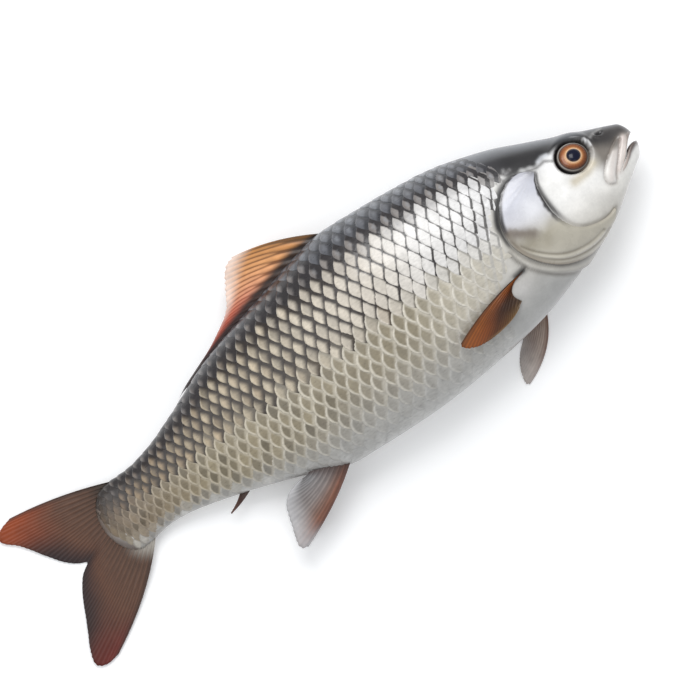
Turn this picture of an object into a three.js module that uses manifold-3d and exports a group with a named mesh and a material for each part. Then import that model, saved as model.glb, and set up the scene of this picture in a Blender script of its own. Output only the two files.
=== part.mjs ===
// A whole raw fish of the carp family, lying limp on its left side.
// Millimetres. +X points to the snout, +Y to the back and +Z up, out of the right flank.
// The body with its head is one solid. The lower jaw, the gill covers, the eyes and the
// fins are pieces of their own, each set on the body with a clearance all round.
import * as THREE from "three";
import { mergeVertices } from "three/addons/utils/BufferGeometryUtils.js";
import Module from "manifold-3d";

// ---- driving dimensions, mm ----
const bodyLength = 310; // snout to the end of the scaled tail stalk
const bodyDepth = 99; // back to belly, at the front of the dorsal fin
const bodyThickness = 53.6; // flank to flank, behind the gill covers
const flankPress = 1.6; // how far the lower flank flattens under the fish's weight
const headDroop = 2; // how far the snout hangs below the trunk's middle

const tailFinLength = 45; // from the end of the tail stalk to the lobe tips
const upperLobeRise = 30; // above the tail stalk's middle
const lowerLobeDrop = 52; // below it
const dorsalFinBase = 101;
const dorsalFinHeight = 23.4;
const dorsalFinDroop = 3; // how far its edge hangs below the ridge of the back
const pelvicFinLength = 42;
const pelvicFinDrop = 21;
const pelvicFinSpacing = 8; // between the roots of the pair
const pelvicFinDroop = 6; // how far the right one's edge hangs below its root
const analFinLength = 14.8;
const analFinDrop = 4;
const pectoralFinLength = 45;
const pectoralFinWidth = 17.4;
const splayedFinLength = 33; // the left pectoral fin, pressed out under the throat
const splayedFinDrop = 45;
const finRootThickness = 2.2;
const finEdgeThickness = 0.8;

const eyeLength = 17.2;
const eyeHeight = 16;
const eyeDepth = 10;
const eyeProud = 1.9; // how far the eyeball stands out of the cheek

const gillCoverThickness = 1.8;
const gillCoverEdge = 0.7;
const gillCoverLift = 0.2; // above the clearance over the skin

const clearance = 0.3; // between any two pieces
const rootInset = 1.2; // how far a fin's root starts inside the skin, before it is cut to fit

// ---- outline of the body ----
// Each row is a station: how far behind the snout as a per cent of the length, then the back
// and the belly from the middle line as per cents of the depth, then the thickness as a per
// cent of the full thickness. The round snout and tail end are put on by endRounding().
const stations = [
  [0, 8.5, -6.3, 18.7],
  [3.2, 13.1, -12.7, 32.8],
  [6.5, 17.6, -19.8, 45.5],
  [9.7, 22.0, -26.3, 56.7],
  [14.5, 29.0, -33.1, 70.9],
  [19.4, 36.0, -37.6, 82.1],
  [25.8, 42.2, -43.2, 93.3],
  [32.3, 46.1, -46.7, 98.5],
  [40.3, 48.6, -49.1, 100],
  [46.8, 50.0, -50.0, 97.4],
  [51.6, 48.1, -49.7, 92.9],
  [58.1, 43.3, -48.6, 84.0],
  [63.5, 39.5, -46.9, 74.3],
  [68.4, 36.1, -40.6, 65.3],
  [74.2, 30.7, -33.6, 55.2],
  [80.6, 22.6, -26.9, 43.3],
  [87.1, 15.6, -21.3, 33.2],
  [91.3, 13.1, -19.9, 25.6],
  [95.2, 13.1, -21.6, 19.4],
  [100, 12.4, -22.2, 12.7],
];
const snoutRadius = 4;
const tailRadius = 12;
const snoutHeight = 0.8; // of the snout's tip above the middle line, per cent of the depth
const tailHeight = -4; // of the tail stalk's end
const roundness = 2.2; // exponent of the cross-section: 2 is an ellipse, more is boxier
const widestAbove = 0.04; // the widest level is above half depth by this share of the local depth
const restStation = 40.3; // where the flank is thickest, per cent of the length
const farTailPress = 0.1; // share of flankPress left at the tail end

const pieces = new THREE.Group();
const wasm = await Module();
wasm.setup();

const mix = (a, b, share) => a + (b - a) * share;
const length = (perCent) => (perCent / 100) * bodyLength;
const depth = (perCent) => (perCent / 100) * bodyDepth;

// A smooth line through the rows' values: cubic pieces, each with its neighbours' slope at its ends.
function smoothLine(rows, column) {
  const slope = (i) => {
    const a = rows[Math.max(i - 1, 0)];
    const b = rows[Math.min(i + 1, rows.length - 1)];
    return (b[column] - a[column]) / (b[0] - a[0]);
  };
  return (at) => {
    let i = 0;
    while (i < rows.length - 2 && at > rows[i + 1][0]) i++;
    const [from, to] = [rows[i], rows[i + 1]];
    const span = to[0] - from[0];
    const t = (at - from[0]) / span;
    const rise = t * t * (3 - 2 * t);
    const leave = t * (1 - t) * (1 - t) * slope(i) * span;
    const arrive = t * t * (t - 1) * slope(i + 1) * span;
    return mix(from[column], to[column], rise) + leave + arrive;
  };
}

// The same through points in the side view, run from 0 to 1 along the points' chords.
function smoothPath(points) {
  const rows = [];
  points.forEach(([x, y], i) => {
    const step = i ? Math.hypot(x - points[i - 1][0], y - points[i - 1][1]) : 0;
    rows.push([(i ? rows[i - 1][0] : 0) + step, x, y]);
  });
  const total = rows[rows.length - 1][0];
  const [x, y] = [smoothLine(rows, 1), smoothLine(rows, 2)];
  return (share) => [x(share * total), y(share * total)];
}

const backLine = smoothLine(stations, 1);
const bellyLine = smoothLine(stations, 2);
const thicknessLine = smoothLine(stations, 3);

// 1 along the body, falling to 0 round the blunt snout and the end of the tail stalk.
function endRounding(x) {
  const short = Math.max(1 - x / snoutRadius, 1 - (bodyLength - x) / tailRadius, 0);
  return Math.sqrt(Math.max(1 - short * short, 0));
}

// The cross-section x mm behind the snout: its widest level, the reach up and down from
// there, its half thickness, and its middle's height over the table.
function section(x) {
  const at = (x / bodyLength) * 100;
  const rounding = endRounding(x);
  const tip = depth(x < bodyLength / 2 ? snoutHeight : tailHeight);
  const back = mix(tip, depth(backLine(at)), rounding);
  const belly = mix(tip, depth(bellyLine(at)), rounding);
  const widest = mix(belly, back, 0.5 + widestAbove);
  const half = (thicknessLine(at) / 100) * (bodyThickness / 2);
  const full = (thicknessLine(restStation) / 100) * (bodyThickness / 2);
  const past = (at - restStation) / (100 - restStation);
  const middle =
    at < restStation
      ? full - flankPress - headDroop * (1 - at / restStation) ** 2
      : half - flankPress * mix(1, farTailPress, past);
  return { back, belly, widest, half: half * rounding, middle };
}

const power = (value, exponent) => Math.sign(value) * Math.abs(value) ** exponent;

// A point on the skin x mm behind the snout. The angle runs from 0 at the back through the
// right flank to PI at the belly, and on through the left flank. swell moves it outwards.
function skin(x, angle, swell = 0) {
  const s = section(x);
  const up = power(Math.cos(angle), 2 / roundness);
  const out = power(Math.sin(angle), 2 / roundness);
  const reach = (up > 0 ? s.back - s.widest : s.widest - s.belly) + swell;
  const along = x + swell * ((2 * x) / bodyLength - 1);
  return new THREE.Vector3(-along, s.widest + up * reach, s.middle + out * (s.half + swell));
}

// The half thickness at a point of the side view, and the angle that skin() has there.
function flank(x, y) {
  const s = section(x);
  const reach = y > s.widest ? s.back - s.widest : s.widest - s.belly;
  const level = Math.min(Math.abs(y - s.widest) / reach, 1);
  const out = s.half * (1 - level ** roundness) ** (1 / roundness);
  const angle = Math.acos(power(Math.sign(y - s.widest) * level, roundness / 2));
  return { out, angle, middle: s.middle };
}

// A point a given way off the skin of one flank (side 1 is right, -1 left), along its normal.
function offFlank([x, y], away, side) {
  const angle = flank(x, y).angle * side;
  const step = 0.01;
  const here = skin(x, angle);
  const across = skin(x, angle + step).sub(skin(x, angle - step));
  const along = skin(x - step, angle).sub(skin(x + step, angle));
  return here.addScaledVector(across.cross(along).normalize(), away);
}

// ---- closed meshes ----
function meshOf(points, faces) {
  const geometry = new THREE.BufferGeometry().setFromPoints(points);
  geometry.setIndex(faces.flat());
  return geometry;
}

function solidOf(geometry, matrix = new THREE.Matrix4()) {
  const bare = geometry.clone().applyMatrix4(matrix);
  bare.deleteAttribute("normal");
  bare.deleteAttribute("uv");
  const merged = mergeVertices(bare, 1e-4);
  const vertProperties = merged.attributes.position.array;
  const triVerts = new Uint32Array(merged.index.array);
  return new wasm.Manifold(new wasm.Mesh({ numProp: 3, vertProperties, triVerts }));
}

function geometryOf(solid) {
  const { vertProperties, triVerts } = solid.getMesh();
  const position = new THREE.BufferAttribute(new Float32Array(vertProperties), 3);
  return new THREE.BufferGeometry()
    .setAttribute("position", position)
    .setIndex(new THREE.BufferAttribute(new Uint32Array(triVerts), 1));
}

// A thin closed sheet round the middle surface middle(u, v). half(u, v) points from there to
// the upper face. u counts rays from the front one to the rear one, v runs from root to edge.
function sheet(middle, half, rays, steps) {
  const points = [];
  for (const face of [1, -1])
    for (let i = 0; i <= rays; i++)
      for (let j = 0; j <= steps; j++) {
        const [u, v] = [i / rays, j / steps];
        points.push(middle(u, v).addScaledVector(half(u, v), face));
      }
  const lower = (rays + 1) * (steps + 1);
  const at = (i, j) => i * (steps + 1) + j;
  const faces = [];
  const quad = (a, b, c, d) => faces.push([a, b, c], [a, c, d]);
  for (let i = 0; i < rays; i++)
    for (let j = 0; j < steps; j++) {
      const corners = [at(i, j), at(i, j + 1), at(i + 1, j + 1), at(i + 1, j)];
      quad(...corners);
      quad(...corners.map((n) => n + lower).reverse());
    }
  const rim = [];
  for (let i = 0; i < rays; i++) rim.push(at(i, 0));
  for (let j = 0; j < steps; j++) rim.push(at(rays, j));
  for (let i = rays; i > 0; i--) rim.push(at(i, steps));
  for (let j = steps; j > 0; j--) rim.push(at(0, j));
  rim.forEach((a, n) => {
    const b = rim[(n + 1) % rim.length];
    quad(a, b, b + lower, a + lower);
  });
  const geometry = meshOf(points, faces);
  return solidOf(geometry).volume() > 0 ? geometry : meshOf(points, faces.map((f) => f.reverse()));
}

// The whole skin as rings of points, closed at the snout and at the tail stalk's end.
function bodySolid(swell = 0) {
  const around = 32;
  const endRings = 4;
  const ringStep = 7;
  const places = [];
  const turn = Math.PI / 2 / endRings;
  for (let i = 1; i <= endRings; i++) places.push(snoutRadius * (1 - Math.cos(i * turn)));
  const straight = bodyLength - snoutRadius - tailRadius;
  const rings = Math.round(straight / ringStep);
  for (let i = 1; i < rings; i++) places.push(snoutRadius + (straight * i) / rings);
  for (let i = endRings; i >= 1; i--)
    places.push(bodyLength - tailRadius * (1 - Math.cos(i * turn)));
  const points = [skin(0, 0, swell)];
  points[0].y = depth(snoutHeight);
  for (const x of places)
    for (let k = 0; k < around; k++) points.push(skin(x, (k / around) * 2 * Math.PI, swell));
  const end = points.length;
  points.push(skin(bodyLength, 0, swell));
  points[end].y = depth(tailHeight);
  const faces = [];
  const last = 1 + (places.length - 1) * around;
  for (let k = 0; k < around; k++) {
    const next = (k + 1) % around;
    faces.push([0, 1 + k, 1 + next]);
    faces.push([end, last + next, last + k]);
    for (let i = 0; i < places.length - 1; i++) {
      const ring = 1 + i * around;
      faces.push([ring + k, ring + around + k, ring + around + next]);
      faces.push([ring + k, ring + around + next, ring + next]);
    }
  }
  const solid = solidOf(meshOf(points, faces));
  return solid.volume() > 0 ? solid : solidOf(meshOf(points, faces.map((f) => f.reverse())));
}

// A slab across the whole fish with a side-view outline, given as [behind the snout, up].
function slab(outline) {
  const shape = new THREE.Shape(outline.map(([x, y]) => new THREE.Vector2(-x, y)));
  const width = 4 * bodyThickness;
  const geometry = new THREE.ExtrudeGeometry(shape, { depth: width, bevelEnabled: false });
  return solidOf(geometry.translate(0, 0, -width / 2));
}

const colours = {
  skin: [0xb9b6ab, 0.35],
  gillCover: [0xe4e2dd, 0.3],
  fin: [0x8a5238, 0.5],
  paleFin: [0x9c8a86, 0.5],
  eye: [0xb06a2c, 0.1],
};

function addPiece(name, solid, [colour, roughness]) {
  const material = new THREE.MeshStandardMaterial({ color: colour, roughness, metalness: 0.1 });
  const mesh = new THREE.Mesh(geometryOf(solid), material);
  mesh.name = name;
  pieces.add(mesh);
}

// Everything below the table is cut off, which leaves the flat patch that the fish rests on.
const tableWidth = 4 * (bodyLength + tailFinLength);
const table = solidOf(
  new THREE.BoxGeometry(tableWidth, tableWidth, bodyThickness).translate(0, 0, -bodyThickness / 2),
);
const whole = bodySolid();
const swollen = bodySolid(clearance);

// ---- mouth ----
// Points in the side view, per cent of the length behind the snout and of the depth above
// the middle line: the corner of the lips, the end of the gape, and the jaw's hinge corner.
const mouthPoint = ([x, y]) => [length(x), depth(y)];
const lipCorner = mouthPoint([5.6, -10.6]);
const gapeEnd = mouthPoint([2.9, -4.5]);
const upperLipFront = mouthPoint([-1.6, 7]);
const lowerLipFront = mouthPoint([-1.6, 0.6]);
const jawHinge = mouthPoint([9.2, -30]);
const belowJaw = mouthPoint([-1.6, -60]);
const apart = ([x, y]) => [x + clearance, y + clearance];
const jawSlab = slab([lipCorner, gapeEnd, lowerLipFront, belowJaw, jawHinge]);
const mouthCut = slab([
  apart(lipCorner),
  apart(gapeEnd),
  upperLipFront,
  belowJaw,
  [jawHinge[0] + clearance, belowJaw[1]],
  apart(jawHinge),
]);
addPiece("lower_jaw", whole.intersect(jawSlab).subtract(table), colours.skin);

// ---- eyes ----
const eyeCentre = [length(9.7), depth(10.4)];

function eyeball(side, grown) {
  const outwards = offFlank(eyeCentre, 1, side).sub(offFlank(eyeCentre, 0, side));
  const centre = offFlank(eyeCentre, eyeProud - eyeDepth / 2, side);
  const turned = new THREE.Quaternion().setFromUnitVectors(new THREE.Vector3(0, 0, 1), outwards);
  const size = new THREE.Vector3(eyeLength / 2, eyeHeight / 2, eyeDepth / 2).addScalar(grown);
  const matrix = new THREE.Matrix4().compose(centre, turned, size);
  return solidOf(new THREE.SphereGeometry(1, 20, 10), matrix);
}

let body = whole.subtract(mouthCut).subtract(table);
for (const [name, side] of [["eye_right", 1], ["eye_left", -1]]) {
  body = body.subtract(eyeball(side, clearance));
  addPiece(name, eyeball(side, 0), colours.eye);
}
addPiece("body", body, colours.skin);

// ---- gill covers ----
// Side-view points in per cents of length and depth. The front edge follows the cheek's rear
// line from the top to the throat, and the free edge goes round behind and below it.
const coverFront = [
  [16.4, 13.2], [16.8, 7], [16.9, 0], [16.6, -8], [16, -15], [14.6, -20], [12.2, -22.8], [10.5, -25],
];
const coverFree = [
  [16.8, 15], [18.4, 17.8], [20.3, 18.2], [21.9, 15.5], [23.3, 11], [24.3, 5], [24.9, -1],
  [24.9, -6.5], [24.3, -12.5], [23.2, -17.5], [21.5, -22], [19.4, -26.6], [17.4, -29.8],
  [15.3, -31.2], [13, -29.8], [10.6, -26.2],
];

function gillCover(side) {
  const front = smoothPath(coverFront.map(mouthPoint));
  const free = smoothPath(coverFree.map(mouthPoint));
  const thickness = (v) => mix(gillCoverEdge, gillCoverThickness, Math.sin(Math.PI * v) ** 0.7);
  const spot = (u, v) => {
    const [a, b] = [front(u), free(u)];
    return [mix(a[0], b[0], v), mix(a[1], b[1], v)];
  };
  const away = (v) => clearance + gillCoverLift + thickness(v) / 2;
  const middle = (u, v) => offFlank(spot(u, v), away(v), side);
  const half = (u, v) => offFlank(spot(u, v), away(v) + thickness(v) / 2, side).sub(middle(u, v));
  return solidOf(sheet(middle, half, 18, 8));
}
addPiece("gill_cover_right", gillCover(1).subtract(swollen), colours.gillCover);
addPiece("gill_cover_left", gillCover(-1).subtract(swollen).subtract(table), colours.gillCover);

// ---- fins ----
// A fin is a fan of rays. Each ray is a curve from the root line past the bend line to the
// edge line, and height(x, y, u, v) gives its middle's height over the table.
function fin({ root, bend, edge }, height, rays, steps) {
  const [a, b, c] = [root, bend, edge].map(smoothPath);
  const middle = (u, v) => {
    const [from, over, to] = [a(u), b(u), c(u)];
    const [x, y] = [0, 1].map(
      (k) => (1 - v) ** 2 * from[k] + 2 * v * (1 - v) * over[k] + v * v * to[k],
    );
    return new THREE.Vector3(-x, y, height(x, y, u, v));
  };
  const half = (u, v) => new THREE.Vector3(0, 0, mix(finRootThickness, finEdgeThickness, v) / 2);
  return solidOf(sheet(middle, half, rays, steps));
}

const onTable = finEdgeThickness / 2;
const spineHeight = (x) => section(Math.min(x, bodyLength)).middle;
const backAt = (x) => section(x).back;
const bellyAt = (x) => section(x).belly;
const ease = (v) => v * v * (3 - 2 * v);

// The tail fin hangs from the end of the tail stalk and lies on the table at its edge.
const tailMiddle = depth(tailHeight);
const tailPoint = ([x, y]) => [
  bodyLength + x * tailFinLength,
  tailMiddle + y * (y > 0 ? upperLobeRise : lowerLobeDrop),
];
const stalkPoint = ([back, share]) => {
  const x = bodyLength - back * tailRadius;
  const s = section(x);
  return [x, mix(s.belly + rootInset, s.back - rootInset, share)];
};
const tailFin = fin(
  {
    root: [[1.4, 1], [0.75, 0.8], [0.5, 0.5], [0.75, 0.2], [1.4, 0]].map(stalkPoint),
    bend: [[0.12, 0.82], [0.2, 0.45], [0.16, -0.06], [0.24, -0.38], [0.2, -0.7]].map(tailPoint),
    edge: [
      [0.8, 1], [1, 0.88], [0.89, 0.7], [0.67, 0.42], [0.53, 0.07], [0.42, -0.09], [0.29, -0.14],
      [0.42, -0.21], [0.51, -0.33], [0.62, -0.54], [0.78, -0.76], [0.87, -0.93], [0.82, -0.99],
      [0.71, -1],
    ].map(tailPoint),
  },
  (x, y, u, v) => mix(spineHeight(x), onTable, ease(v)),
  28,
  5,
);
addPiece("tail_fin", tailFin.subtract(swollen).subtract(table), colours.fin);

// The dorsal fin stands on the ridge of the back and leans back along it.
const dorsalStart = length(46.6);
const ridgePoint = (height) => (share) => {
  const x = dorsalStart + share * dorsalFinBase;
  return [x, backAt(x) + height];
};
const dorsalPoint = ([share, rise]) => ridgePoint(rise * dorsalFinHeight)(share);
const dorsalFin = fin(
  {
    root: [0, 0.12, 0.3, 0.5, 0.7, 0.9].map(ridgePoint(-rootInset)),
    bend: [[0.17, 0.5], [0.28, 0.42], [0.4, 0.28], [0.58, 0.12], [0.76, 0.07], [0.95, 0.04]].map(
      dorsalPoint,
    ),
    edge: [
      [0.41, 1], [0.446, 0.97], [0.485, 0.85], [0.515, 0.68], [0.545, 0.52], [0.594, 0.36],
      [0.683, 0.205], [0.782, 0.12], [0.9, 0.08], [1, 0.045],
    ].map(dorsalPoint),
  },
  (x, y, u, v) => spineHeight(x) - dorsalFinDroop * v * v,
  24,
  4,
);
addPiece("dorsal_fin", dorsalFin.subtract(swollen), colours.fin);

// The pelvic fins hang from the belly as a pair, the left one down to the table.
const pelvicStart = length(63.9);
const pelvicRootLength = 16;
const bellyRoot = (start, long) => (share) => {
  const x = start + share * long;
  return [x, bellyAt(x) + rootInset];
};
const bellyPoint = (start, long, drop) => ([x, y]) => [
  start + x * long,
  bellyAt(start) + y * drop,
];
const pelvicPoint = bellyPoint(pelvicStart, pelvicFinLength, pelvicFinDrop);
const pelvicOutline = {
  root: [0, 0.5, 1].map(bellyRoot(pelvicStart, pelvicRootLength)),
  bend: [[0.4, -0.5], [0.5, -0.1], [0.42, 0.37]].map(pelvicPoint),
  edge: [
    [0.9, -0.98], [0.99, -0.92], [0.965, -0.62], [0.9, -0.24], [0.84, 0.03], [0.75, 0.2],
    [0.64, 0.32], [0.5, 0.37],
  ].map(pelvicPoint),
};
const pelvicRoot = pelvicFinSpacing / 2;
const pelvicRight = fin(
  pelvicOutline,
  (x, y, u, v) => spineHeight(pelvicStart) + pelvicRoot - pelvicFinDroop * v * v,
  14,
  5,
);
const pelvicLeft = fin(
  pelvicOutline,
  (x, y, u, v) => mix(spineHeight(pelvicStart) - pelvicRoot, onTable, ease(v)),
  14,
  5,
);
addPiece("pelvic_fin_right", pelvicRight.subtract(swollen), colours.paleFin);
addPiece("pelvic_fin_left", pelvicLeft.subtract(swollen).subtract(table), colours.paleFin);

// The anal fin is folded to a short spike on the belly's ridge.
const analStart = length(77.9);
const analRootLength = 6.5;
const analPoint = bellyPoint(analStart, analFinLength, analFinDrop);
const analFin = fin(
  {
    root: [0, 0.5, 1].map(bellyRoot(analStart, analRootLength)),
    bend: [[0.5, -0.5], [0.55, -0.1], [0.5, 0.3]].map(analPoint),
    edge: [[1, -0.85], [0.95, -0.6], [0.78, -0.1], [0.6, 0.25]].map(analPoint),
  },
  (x) => spineHeight(x),
  6,
  5,
);
addPiece("anal_fin", analFin.subtract(swollen), colours.fin);

// The right pectoral fin lies back along the flank, rising off it towards its edge.
const pectoralStart = length(25.6);
const pectoralHeight = depth(-20.2);
const pectoralLift = 3.4;
const pectoralPoint = ([x, y]) => [
  pectoralStart + x * pectoralFinLength,
  pectoralHeight + y * pectoralFinWidth,
];
const pectoralRight = fin(
  {
    root: [[0, 0], [0.02, -0.2], [0.06, -0.42]].map(pectoralPoint),
    bend: [[0.5, -0.06], [0.42, -0.42], [0.3, -0.72], [0.14, -0.66]].map(pectoralPoint),
    edge: [
      [0.98, -0.64], [1, -0.74], [0.93, -0.86], [0.8, -0.96], [0.63, -1], [0.45, -0.95],
      [0.3, -0.86], [0.19, -0.75],
    ].map(pectoralPoint),
  },
  (x, y, u, v) => {
    const s = flank(x, y);
    const lift = mix(-finRootThickness, clearance + finRootThickness, ease(Math.min(v / 0.25, 1)));
    return s.middle + s.out + lift + pectoralLift * v * v;
  },
  12,
  7,
);
addPiece("pectoral_fin_right", pectoralRight.subtract(swollen), colours.fin);

// The left pectoral fin is pinned between the flank and the table and shows below the throat.
const splayedPoint = ([x, y]) => [
  pectoralStart + x * splayedFinLength,
  pectoralHeight + y * splayedFinDrop,
];
const pectoralLeft = fin(
  {
    root: [[-0.12, -0.02], [-0.04, 0.02], [0.06, 0.03]].map(splayedPoint),
    bend: [[-0.2, -0.56], [0.05, -0.5], [0.3, -0.42], [0.4, -0.3]].map(splayedPoint),
    edge: [[0.84, -1], [0.88, -0.97], [0.8, -0.82], [0.72, -0.7], [0.56, -0.62], [0.42, -0.54]].map(
      splayedPoint,
    ),
  },
  (x, y, u, v) => {
    const s = flank(x, y);
    const root = s.middle - s.out + finRootThickness;
    return mix(root, onTable, ease(Math.min(v / 0.25, 1)));
  },
  10,
  7,
);
addPiece("pectoral_fin_left", pectoralLeft.subtract(swollen).subtract(table), colours.paleFin);

// ---- place ----
// The origin is under the middle of the fish, on the table.
const box = new THREE.Box3().setFromObject(pieces);
const centre = box.getCenter(new THREE.Vector3());
pieces.position.set(-centre.x, -centre.y, -box.min.z);

export default pieces;
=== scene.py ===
import math

import bpy
import numpy as np
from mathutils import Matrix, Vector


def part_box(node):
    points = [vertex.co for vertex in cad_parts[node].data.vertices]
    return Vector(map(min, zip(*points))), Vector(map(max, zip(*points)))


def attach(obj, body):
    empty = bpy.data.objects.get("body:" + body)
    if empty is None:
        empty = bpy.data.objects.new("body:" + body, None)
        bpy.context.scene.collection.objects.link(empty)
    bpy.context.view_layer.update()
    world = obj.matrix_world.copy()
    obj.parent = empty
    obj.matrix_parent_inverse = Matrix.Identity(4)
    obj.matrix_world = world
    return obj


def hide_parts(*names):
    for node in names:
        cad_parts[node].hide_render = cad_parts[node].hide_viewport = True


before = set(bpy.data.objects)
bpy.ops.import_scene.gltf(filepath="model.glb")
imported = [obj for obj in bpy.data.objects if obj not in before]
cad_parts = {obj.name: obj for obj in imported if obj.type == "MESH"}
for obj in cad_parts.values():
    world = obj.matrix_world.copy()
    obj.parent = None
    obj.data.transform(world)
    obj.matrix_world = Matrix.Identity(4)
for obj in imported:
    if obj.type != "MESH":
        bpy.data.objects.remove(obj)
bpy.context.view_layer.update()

# ---- The table, the light and the camera --------------------------------------------------
# A white table under broad soft studio lights. The camera looks straight down on the fish,
# which lies head up to the right across the view.
MM = 0.001
body_length = 310.0  # mm, from the snout to the tail's root
view_centre = (-166.2, -2.8)  # mm from the snout and from the middle line
view_width = 324.1  # mm, at the height of the flank
view_turn = math.radians(-35.8)
flank_height, camera_height = 0.045, 2.4
sensor_width = 36

body_lo, body_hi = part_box("body")
snout_x = body_lo.x + body_length * MM
middle_y = (body_lo.y + body_hi.y) / 2

scene = bpy.context.scene
scene.view_settings.view_transform = "Standard"
world = bpy.data.worlds.new("studio")
scene.world = world
world.use_nodes = True
studio_glow = world.node_tree.nodes["Background"].inputs
studio_glow["Color"].default_value = (0.93, 0.96, 1.0, 1)
studio_glow["Strength"].default_value = 0.55

camera = bpy.data.objects.new("camera", bpy.data.cameras.new("camera"))
scene.collection.objects.link(camera)
camera.location = (snout_x + view_centre[0] * MM, middle_y + view_centre[1] * MM, camera_height)
camera.rotation_euler = (0, 0, view_turn)
camera.data.sensor_width = sensor_width
camera.data.lens = sensor_width * (camera_height - flank_height) / (view_width * MM)
scene.camera = camera

# Each light has its place and size in metres and its power in watts, and faces the fish.
aim = camera.location.copy()
aim.z = 0
for name, spot, size, power in (
    ("key_light", (0.35, 0.75, 1.15), 0.8, 10.5),
    ("fill_light", (-0.75, 0.35, 1.2), 1.1, 4),
    ("low_light", (0.1, -0.9, 0.9), 0.9, 1.6),
):
    lamp = bpy.data.lights.new(name, "AREA")
    lamp.size, lamp.energy, lamp.specular_factor = size, power, 0.5
    light = bpy.data.objects.new(name, lamp)
    scene.collection.objects.link(light)
    light.location = spot
    light.rotation_euler = (aim - light.location).to_track_quat("-Z", "Y").to_euler()

bpy.ops.mesh.primitive_plane_add(size=6)
table = bpy.context.object
table.name = "table"
white = bpy.data.materials.new("white_table")
white.use_nodes = True
table_top = white.node_tree.nodes["Principled BSDF"].inputs
table_top["Base Color"].default_value = (0.93, 0.93, 0.93, 1)
table_top["Roughness"].default_value = 0.7
table_top["Emission Color"].default_value = (1, 1, 1, 1)
table_top["Emission Strength"].default_value = 0.16
table.data.materials.append(white)

# ---- The body: skin of the head, trunk and tail stalk --------------------------------------
# One closed skin over flesh and bone, wet and smooth. On the head it is bare and shows the
# bones under it; on the trunk it is what the scales grow out of.

# Stations: per cent of the length behind the snout, then back, belly and half thickness in mm.
stations = np.array([
    [0, 8.4, -6.2, 5.0], [3.2, 13.0, -12.6, 8.8], [6.5, 17.4, -19.6, 12.2],
    [9.7, 21.8, -26.0, 15.2], [14.5, 28.7, -32.8, 19.0], [19.4, 35.6, -37.2, 22.0],
    [25.8, 41.8, -42.8, 25.0], [32.3, 45.6, -46.2, 26.4], [40.3, 48.1, -48.6, 26.8],
    [46.8, 49.5, -49.5, 26.1], [51.6, 47.6, -49.2, 24.9], [58.1, 42.9, -48.1, 22.5],
    [63.5, 39.1, -46.4, 19.9], [68.4, 35.7, -40.2, 17.5], [74.2, 30.4, -33.3, 14.8],
    [80.6, 22.4, -26.6, 11.6], [87.1, 15.4, -21.1, 8.9], [91.3, 13.0, -19.7, 6.9],
    [95.2, 13.0, -21.4, 5.2], [100, 12.3, -22.0, 3.4],
])
thickest = 26.8  # mm, the largest half thickness
widest_share = 0.54  # how far up from the belly the fish is widest
snout_radius, tail_radius = 4.0, 12.0  # mm over which each end is rounded off
snout_tip_y, tail_end_y = 0.8, -4.0
roundness = 2.2  # a section's power: 2 is an ellipse, and more is squarer
rest_station = 40.3  # per cent; the fish lies on the table here
flank_press, head_droop, far_press = 1.6, 2.0, 0.1  # how its weight flattens and bends it
snout_gap = 0.35  # mm from the snout's tip to the end of the frame


def smooth(rows, column, at):
    """A line through the rows' values: each stretch is a cubic that has, at its two ends, the
    slope between the neighbouring rows."""
    x, y = rows[:, 0], rows[:, column]
    inner = (y[2:] - y[:-2]) / (x[2:] - x[:-2])
    first, last = (y[1] - y[0]) / (x[1] - x[0]), (y[-1] - y[-2]) / (x[-1] - x[-2])
    slope = np.concatenate([[first], inner, [last]])
    i = np.clip(np.searchsorted(x, at, side="right") - 1, 0, len(x) - 2)
    span = x[i + 1] - x[i]
    t = (at - x[i]) / span
    rise = t * t * (3 - 2 * t)
    bend = t * (1 - t) ** 2 * slope[i] * span + t * t * (t - 1) * slope[i + 1] * span
    return y[i] + (y[i + 1] - y[i]) * rise + bend


def section(s):
    """Back, belly, widest level, half thickness and height of the middle, s mm behind the snout.
    Each end is rounded as a quarter of a circle, and the middle sinks towards the table."""
    s = np.clip(s, 0, body_length)
    at = s / body_length * 100
    short = np.maximum(np.maximum(1 - s / snout_radius, 1 - (body_length - s) / tail_radius), 0)
    full = np.sqrt(np.maximum(1 - short**2, 0))
    tip = np.where(s < body_length / 2, snout_tip_y, tail_end_y)
    back = tip + (smooth(stations, 1, at) - tip) * full
    belly = tip + (smooth(stations, 2, at) - tip) * full
    widest = belly + (back - belly) * widest_share
    half = smooth(stations, 3, at)
    past = (at - rest_station) / (100 - rest_station)
    front = thickest - flank_press - head_droop * (1 - at / rest_station) ** 2
    rear = half - flank_press * (1 + (far_press - 1) * past)
    return back, belly, widest, half * full, np.where(at < rest_station, front, rear)


def signed_power(value, exponent):
    """The value's size raised to the exponent, with the value's own sign."""
    return np.sign(value) * np.abs(value) ** exponent


def settle(z):
    """Presses the underside flat on the table: heights bend smoothly to stay above it."""
    return (z + np.sqrt(z * z + 1.2)) / 2


def skin_point(s, angle):
    """The skin s mm behind the snout at an angle that runs from 0 at the back over the right
    flank to pi at the belly and on over the left flank: a rounded ellipse of the section."""
    back, belly, widest, half, middle = section(s)
    up = signed_power(np.cos(angle), 2 / roundness)
    out = signed_power(np.sin(angle), 2 / roundness)
    y = widest + up * np.where(up > 0, back - widest, widest - belly)
    return np.stack([s + 0 * angle, y, middle + out * half], -1)


def skin_normal(s, angle):
    """Outward unit normal of skin_point, from the cross product of small steps."""
    step_s, step_a = 0.3, 0.004
    along = skin_point(s + step_s, angle) - skin_point(s - step_s, angle)
    across = skin_point(s, angle + step_a) - skin_point(s, angle - step_a)
    n = np.cross(across, along)
    return n / np.maximum(np.linalg.norm(n, axis=-1, keepdims=True), 1e-9)


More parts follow.
